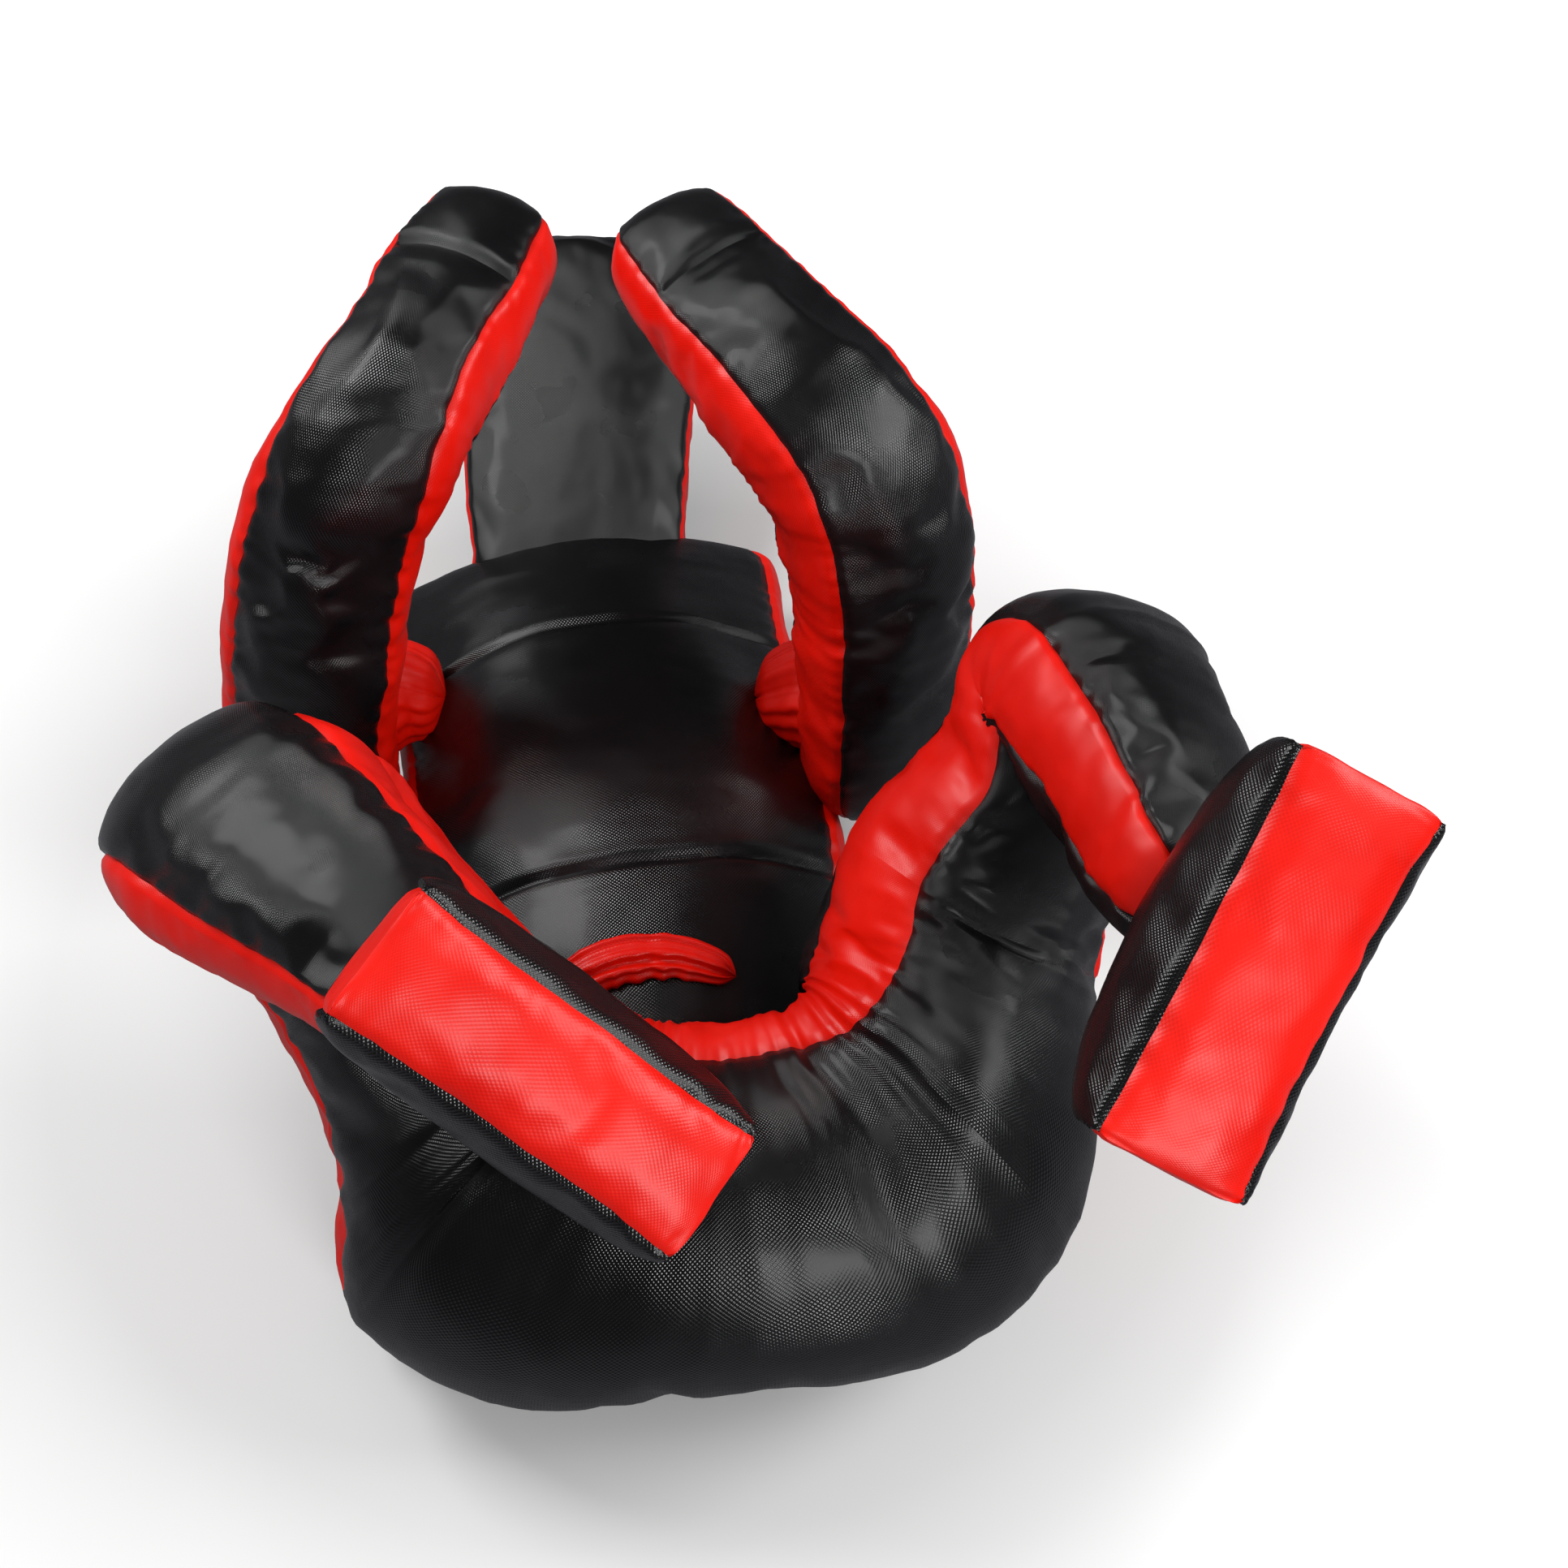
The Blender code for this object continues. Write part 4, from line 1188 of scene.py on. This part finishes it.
def head_cushion() -> Cushion:
    """Head: flat pad with black front and back and a red gusset round its edge.

    Returns:
        The cushion.
    """
    rides = Carry("head")
    rails = []
    for k in range(RAIL_STEPS + 1):
        v = HEAD_START + (HEAD_LENGTH - HEAD_START) * math.sin(math.pi / 2.0 * k / RAIL_STEPS)
        taper = min(v / (HEAD_TAPER * HEAD_LENGTH), 1.0)
        wide = HEAD_NECK_HALF + (HEAD_TOP_HALF - HEAD_NECK_HALF) * taper
        past = max(v - (HEAD_LENGTH - HEAD_CORNER), 0.0)
        wide -= HEAD_CORNER - math.sqrt(max(HEAD_CORNER**2 - past**2, 0.0))
        rails.append(((-wide, v), (wide, v)))

    def panel_at(run: float, spot: Vector, face: Side) -> Panel:
        """Panel of a spot on the head."""
        if face in (Side.OUTER, Side.INNER):
            return Panel("head_gusset", Finish.RED, ("head_gusset",), rides)
        if face is Side.FRONT:
            return Panel("head_front", Finish.BLACK, ("head_front", "head_fill"), rides)
        return Panel("head_back", Finish.BLACK, ("head_back",), rides)

    return Cushion(
        name="head",
        panel_at=panel_at,
        rails=rails,
        place=lambda u, v, w: NECK + HEAD_ACROSS * u + HEAD_ALONG * v + HEAD_FRONT * w,
        half=0.034,
        crown=0.020,
        cap_move=0.006,
        growth=0.014,
    )


FOOT_ACROSS = {"left": Vector((0.7068, 0.6323, 0.3172)), "right": Vector((0.8113, -0.4443, -0.3801))}
FOOT_TOE = {"left": Vector((-0.6771, 0.4749, 0.5621)), "right": Vector((0.5845, 0.6310, 0.5100))}
FOOT_SOLE = {"left": Vector((0.2048, -0.6121, 0.7638)), "right": Vector((0.0133, -0.6359, 0.7716))}
FOOT_OFFSET = {"left": 0.045, "right": 0.020}
FOOT_HALF = {"left": 0.041, "right": 0.046}
FOOT_PLACE = {"left": ANKLE["left"], "right": Vector((0.3254, -0.3011, 0.4405))}
FOOT_TOP = {"left": 0.1168, "right": 0.1202}
FOOT_LONG_HALF = 0.118
FOOT_DEPTH = 0.085
FOOT_WALL = 0.030


def foot_cushion(side: str) -> Cushion:
    """Foot: D-shaped pad whose red sole turns up over both ends.

    Args:
        side: "left" or "right".

    Returns:
        The cushion.
    """
    rides = Carry(f"foot_{side}")
    offset, top, origin = FOOT_OFFSET[side], FOOT_TOP[side], FOOT_PLACE[side]
    rails = []
    for k in range(RAIL_STEPS + 1):
        u = -FOOT_LONG_HALF * math.cos(math.pi * k / RAIL_STEPS)
        swell = math.sqrt(max(1.0 - (u / FOOT_LONG_HALF) ** 2, 0.0))
        deep = FOOT_WALL + (FOOT_DEPTH - FOOT_WALL) * swell
        rails.append(((u - offset, top), (u - offset, top - deep)))

    def panel_at(run: float, spot: Vector, face: Side) -> Panel:
        """Panel of a spot on the foot."""
        if face is Side.OUTER:
            return Panel(f"sole_{side}", Finish.RED, (f"sole_{side}",), rides)
        return Panel(f"foot_upper_{side}", Finish.BLACK, (f"foot_upper_{side}",), rides)

    return Cushion(
        name=f"foot_{side}",
        panel_at=panel_at,
        rails=rails,
        place=lambda u, v, w: origin + FOOT_TOE[side] * u + FOOT_SOLE[side] * v + FOOT_ACROSS[side] * w,
        half=FOOT_HALF[side],
        crown=0.012,
        cap_move=0.005,
        growth=0.006,
        gather=0.02,
        pucker=0.0008,
    )


UP = Vector((0.0, 0.0, 1.0))
HIP_CREASE_MIDDLE = (-0.0135, -0.117, 0.168)
HIP_CREASE_STEPS = (-0.075, -0.04, 0.0, 0.04, 0.075)
HIP_CREASE_BOW = 3.9
HIP_CREASE_SAG = 1.6
HIP_SIZES = (0.012, 0.018, 0.020, 0.018, 0.012)
HIP_PLEATS = 12
ARMPITS = {
    "left": [Vector((-0.136, 0.186, 0.130)), Vector((-0.172, 0.190, 0.146)), Vector((-0.212, 0.176, 0.158))],
    "right": [Vector((0.120, 0.138, 0.132)), Vector((0.154, 0.130, 0.147)), Vector((0.190, 0.112, 0.158))],
}
ARMPIT_SIZES = (0.032, 0.046, 0.056)
ARMPIT_PLEATS = 16


def gathered(name: str, path: list[Vector], sizes: tuple[float, ...], pleats: int) -> Sleeve:
    """Small red gathered gusset whose pleats run along it.

    Args:
        name: Name of the piece and of its node.
        path: Its middle line.
        sizes: Half size at each point of the line.
        pleats: Number of pleats round it.

    Returns:
        The sleeve.
    """
    rides = Carry("torso")
    return Sleeve(
        name=name,
        panel_at=lambda run, spot, face: Panel(name, Finish.RED, (name,), rides),
        stations=tuple(Station(tuple(p), tuple(UP), s, s, 0.5) for p, s in zip(path, sizes)),
        cap_start=0.010,
        cap_end=0.010,
        side_crown=0.29,
        pleats=pleats,
        pleat_depth=0.13,
        growth=0.0,
        pucker=0.0008,
    )


def gussets() -> list[Sleeve]:
    """The gathered gussets across the hip crease and in the armpits.

    Returns:
        The three sleeves.
    """
    x, y, z = HIP_CREASE_MIDDLE
    crease = [
        Vector((x + t, y - HIP_CREASE_BOW * t * t, z - HIP_CREASE_SAG * t * t)) for t in HIP_CREASE_STEPS
    ]
    found = [gathered("hip_gusset", crease, HIP_SIZES, HIP_PLEATS)]
    for side, path in ARMPITS.items():
        found.append(gathered(f"armpit_gusset_{side}", path, ARMPIT_SIZES, ARMPIT_PLEATS))
    return found


def set_camera() -> None:
    """Put the camera where the photo was taken from."""
    azimuth, height = math.radians(CAMERA_AZIMUTH_DEG), math.radians(CAMERA_ELEVATION_DEG)
    back = Vector(
        (math.sin(azimuth) * math.cos(height), -math.cos(azimuth) * math.cos(height), math.sin(height))
    )
    data = bpy.data.cameras.new("photo_camera")
    data.sensor_width = SENSOR_MM
    data.lens = SENSOR_MM * PHOTO_FOCAL_PIXELS / PHOTO_PIXELS
    data.dof.use_dof = False
    camera = add_object("photo_camera", data)
    camera.location = CAMERA_TARGET + back * CAMERA_DISTANCE
    camera.rotation_mode = "QUATERNION"
    camera.rotation_quaternion = back.to_track_quat("Z", "Y")
    bpy.context.scene.camera = camera


@dataclass(frozen=True)
class Lamp:
    """One soft square light.

    Args:
        name: Its name.
        place: Where it stands.
        size: Its side, in metres.
        power: Its power, in watts.
    """

    name: str
    place: tuple[float, float, float]
    size: float
    power: float


LAMPS = (
    Lamp("key", (-1.2, 0.9, 2.2), 1.0, 46.0),
    Lamp("right", (1.7, -0.4, 1.6), 0.9, 30.0),
    Lamp("front", (0.5, -2.1, 1.3), 0.7, 22.0),
)


def add_lamp(lamp: Lamp) -> None:
    """Add one light that points at the dummy.

    Args:
        lamp: The light.
    """
    data = bpy.data.lights.new(lamp.name, "AREA")
    data.shape = "SQUARE"
    data.size = lamp.size
    data.energy = lamp.power
    light = add_object(lamp.name, data)
    light.location = lamp.place
    light.rotation_mode = "QUATERNION"
    light.rotation_quaternion = (Vector(lamp.place) - LIGHT_AIM).to_track_quat("Z", "Y")


def add_floor() -> None:
    """Add a matt floor that shows white to the camera, glows away from the dummy and lights it less."""
    shape = bmesh.new()
    bmesh.ops.create_grid(shape, x_segments=1, y_segments=1, size=FLOOR_HALF)
    mesh = to_mesh("floor", shape)
    floor = add_object("floor", mesh)
    material = bpy.data.materials.new("matt_white_sweep")
    material.use_nodes = True
    graph = Graph(material.node_tree)
    seen = graph.add("ShaderNodeLightPath", {}).outputs["Is Camera Ray"]
    tints = {"0": seen, "6": to_linear(FLOOR_TO_LIGHT), "7": to_linear(FLOOR_TO_CAMERA)}
    shade = graph.add("ShaderNodeMix", tints, data_type="RGBA").outputs[2]
    spot = graph.add("ShaderNodeTexCoord", {}).outputs["Object"]
    distance = graph.add("ShaderNodeVectorMath", {"0": spot}, operation="LENGTH").outputs["Value"]
    sweep = {"Value": distance, "From Min": SWEEP_FROM, "From Max": SWEEP_TO, "To Max": SWEEP_GLOW}
    glow = graph.add("ShaderNodeMapRange", sweep).outputs[0]
    matt = {
        "Roughness": FLOOR_ROUGHNESS,
        "Specular IOR Level": 0.0,
        "Base Color": shade,
        "Emission Color": shade,
        "Emission Strength": graph.maths("MULTIPLY", seen, glow),
    }
    graph.feed(material.node_tree.nodes["Principled BSDF"], matt)
    mesh.materials.append(material)


def set_surround() -> None:
    """Set a surround that shows white to the camera and is dim in reflections."""
    world = bpy.data.worlds.new("surround")
    world.use_nodes = True
    graph = Graph(world.node_tree)
    rays = graph.add("ShaderNodeLightPath", {}).outputs
    levels = {"0": rays["Is Glossy Ray"], "To Min": SURROUND_LIGHT, "To Max": SURROUND_REFLECTED}
    light = graph.add("ShaderNodeMapRange", levels).outputs[0]
    shown = graph.add("ShaderNodeMapRange", {"Value": rays["Is Camera Ray"], "To Min": light}).outputs[0]
    graph.feed(world.node_tree.nodes["Background"], {"0": to_linear(SURROUND_COLOUR), "1": shown})
    bpy.context.scene.world = world


def set_studio() -> None:
    """Set up the floor, the surround and the lights, shown without a film look."""
    add_floor()
    set_surround()
    for lamp in LAMPS:
        add_lamp(lamp)
    bpy.context.scene.view_settings.view_transform = "Standard"


def main() -> None:
    """Build the looks of the dummy."""
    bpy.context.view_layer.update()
    vinyls = {spec.finish: make_vinyl(spec) for spec in VINYLS}
    forms = [torso_sleeve(), head_cushion(), leg_sleeve()] + gussets()
    for side in ("left", "right"):
        forms += [arm_sleeve(side), foot_cushion(side)]
    for form in forms:
        build(form, vinyls)
    set_camera()
    set_studio()


if __name__ == "__main__":
    main()
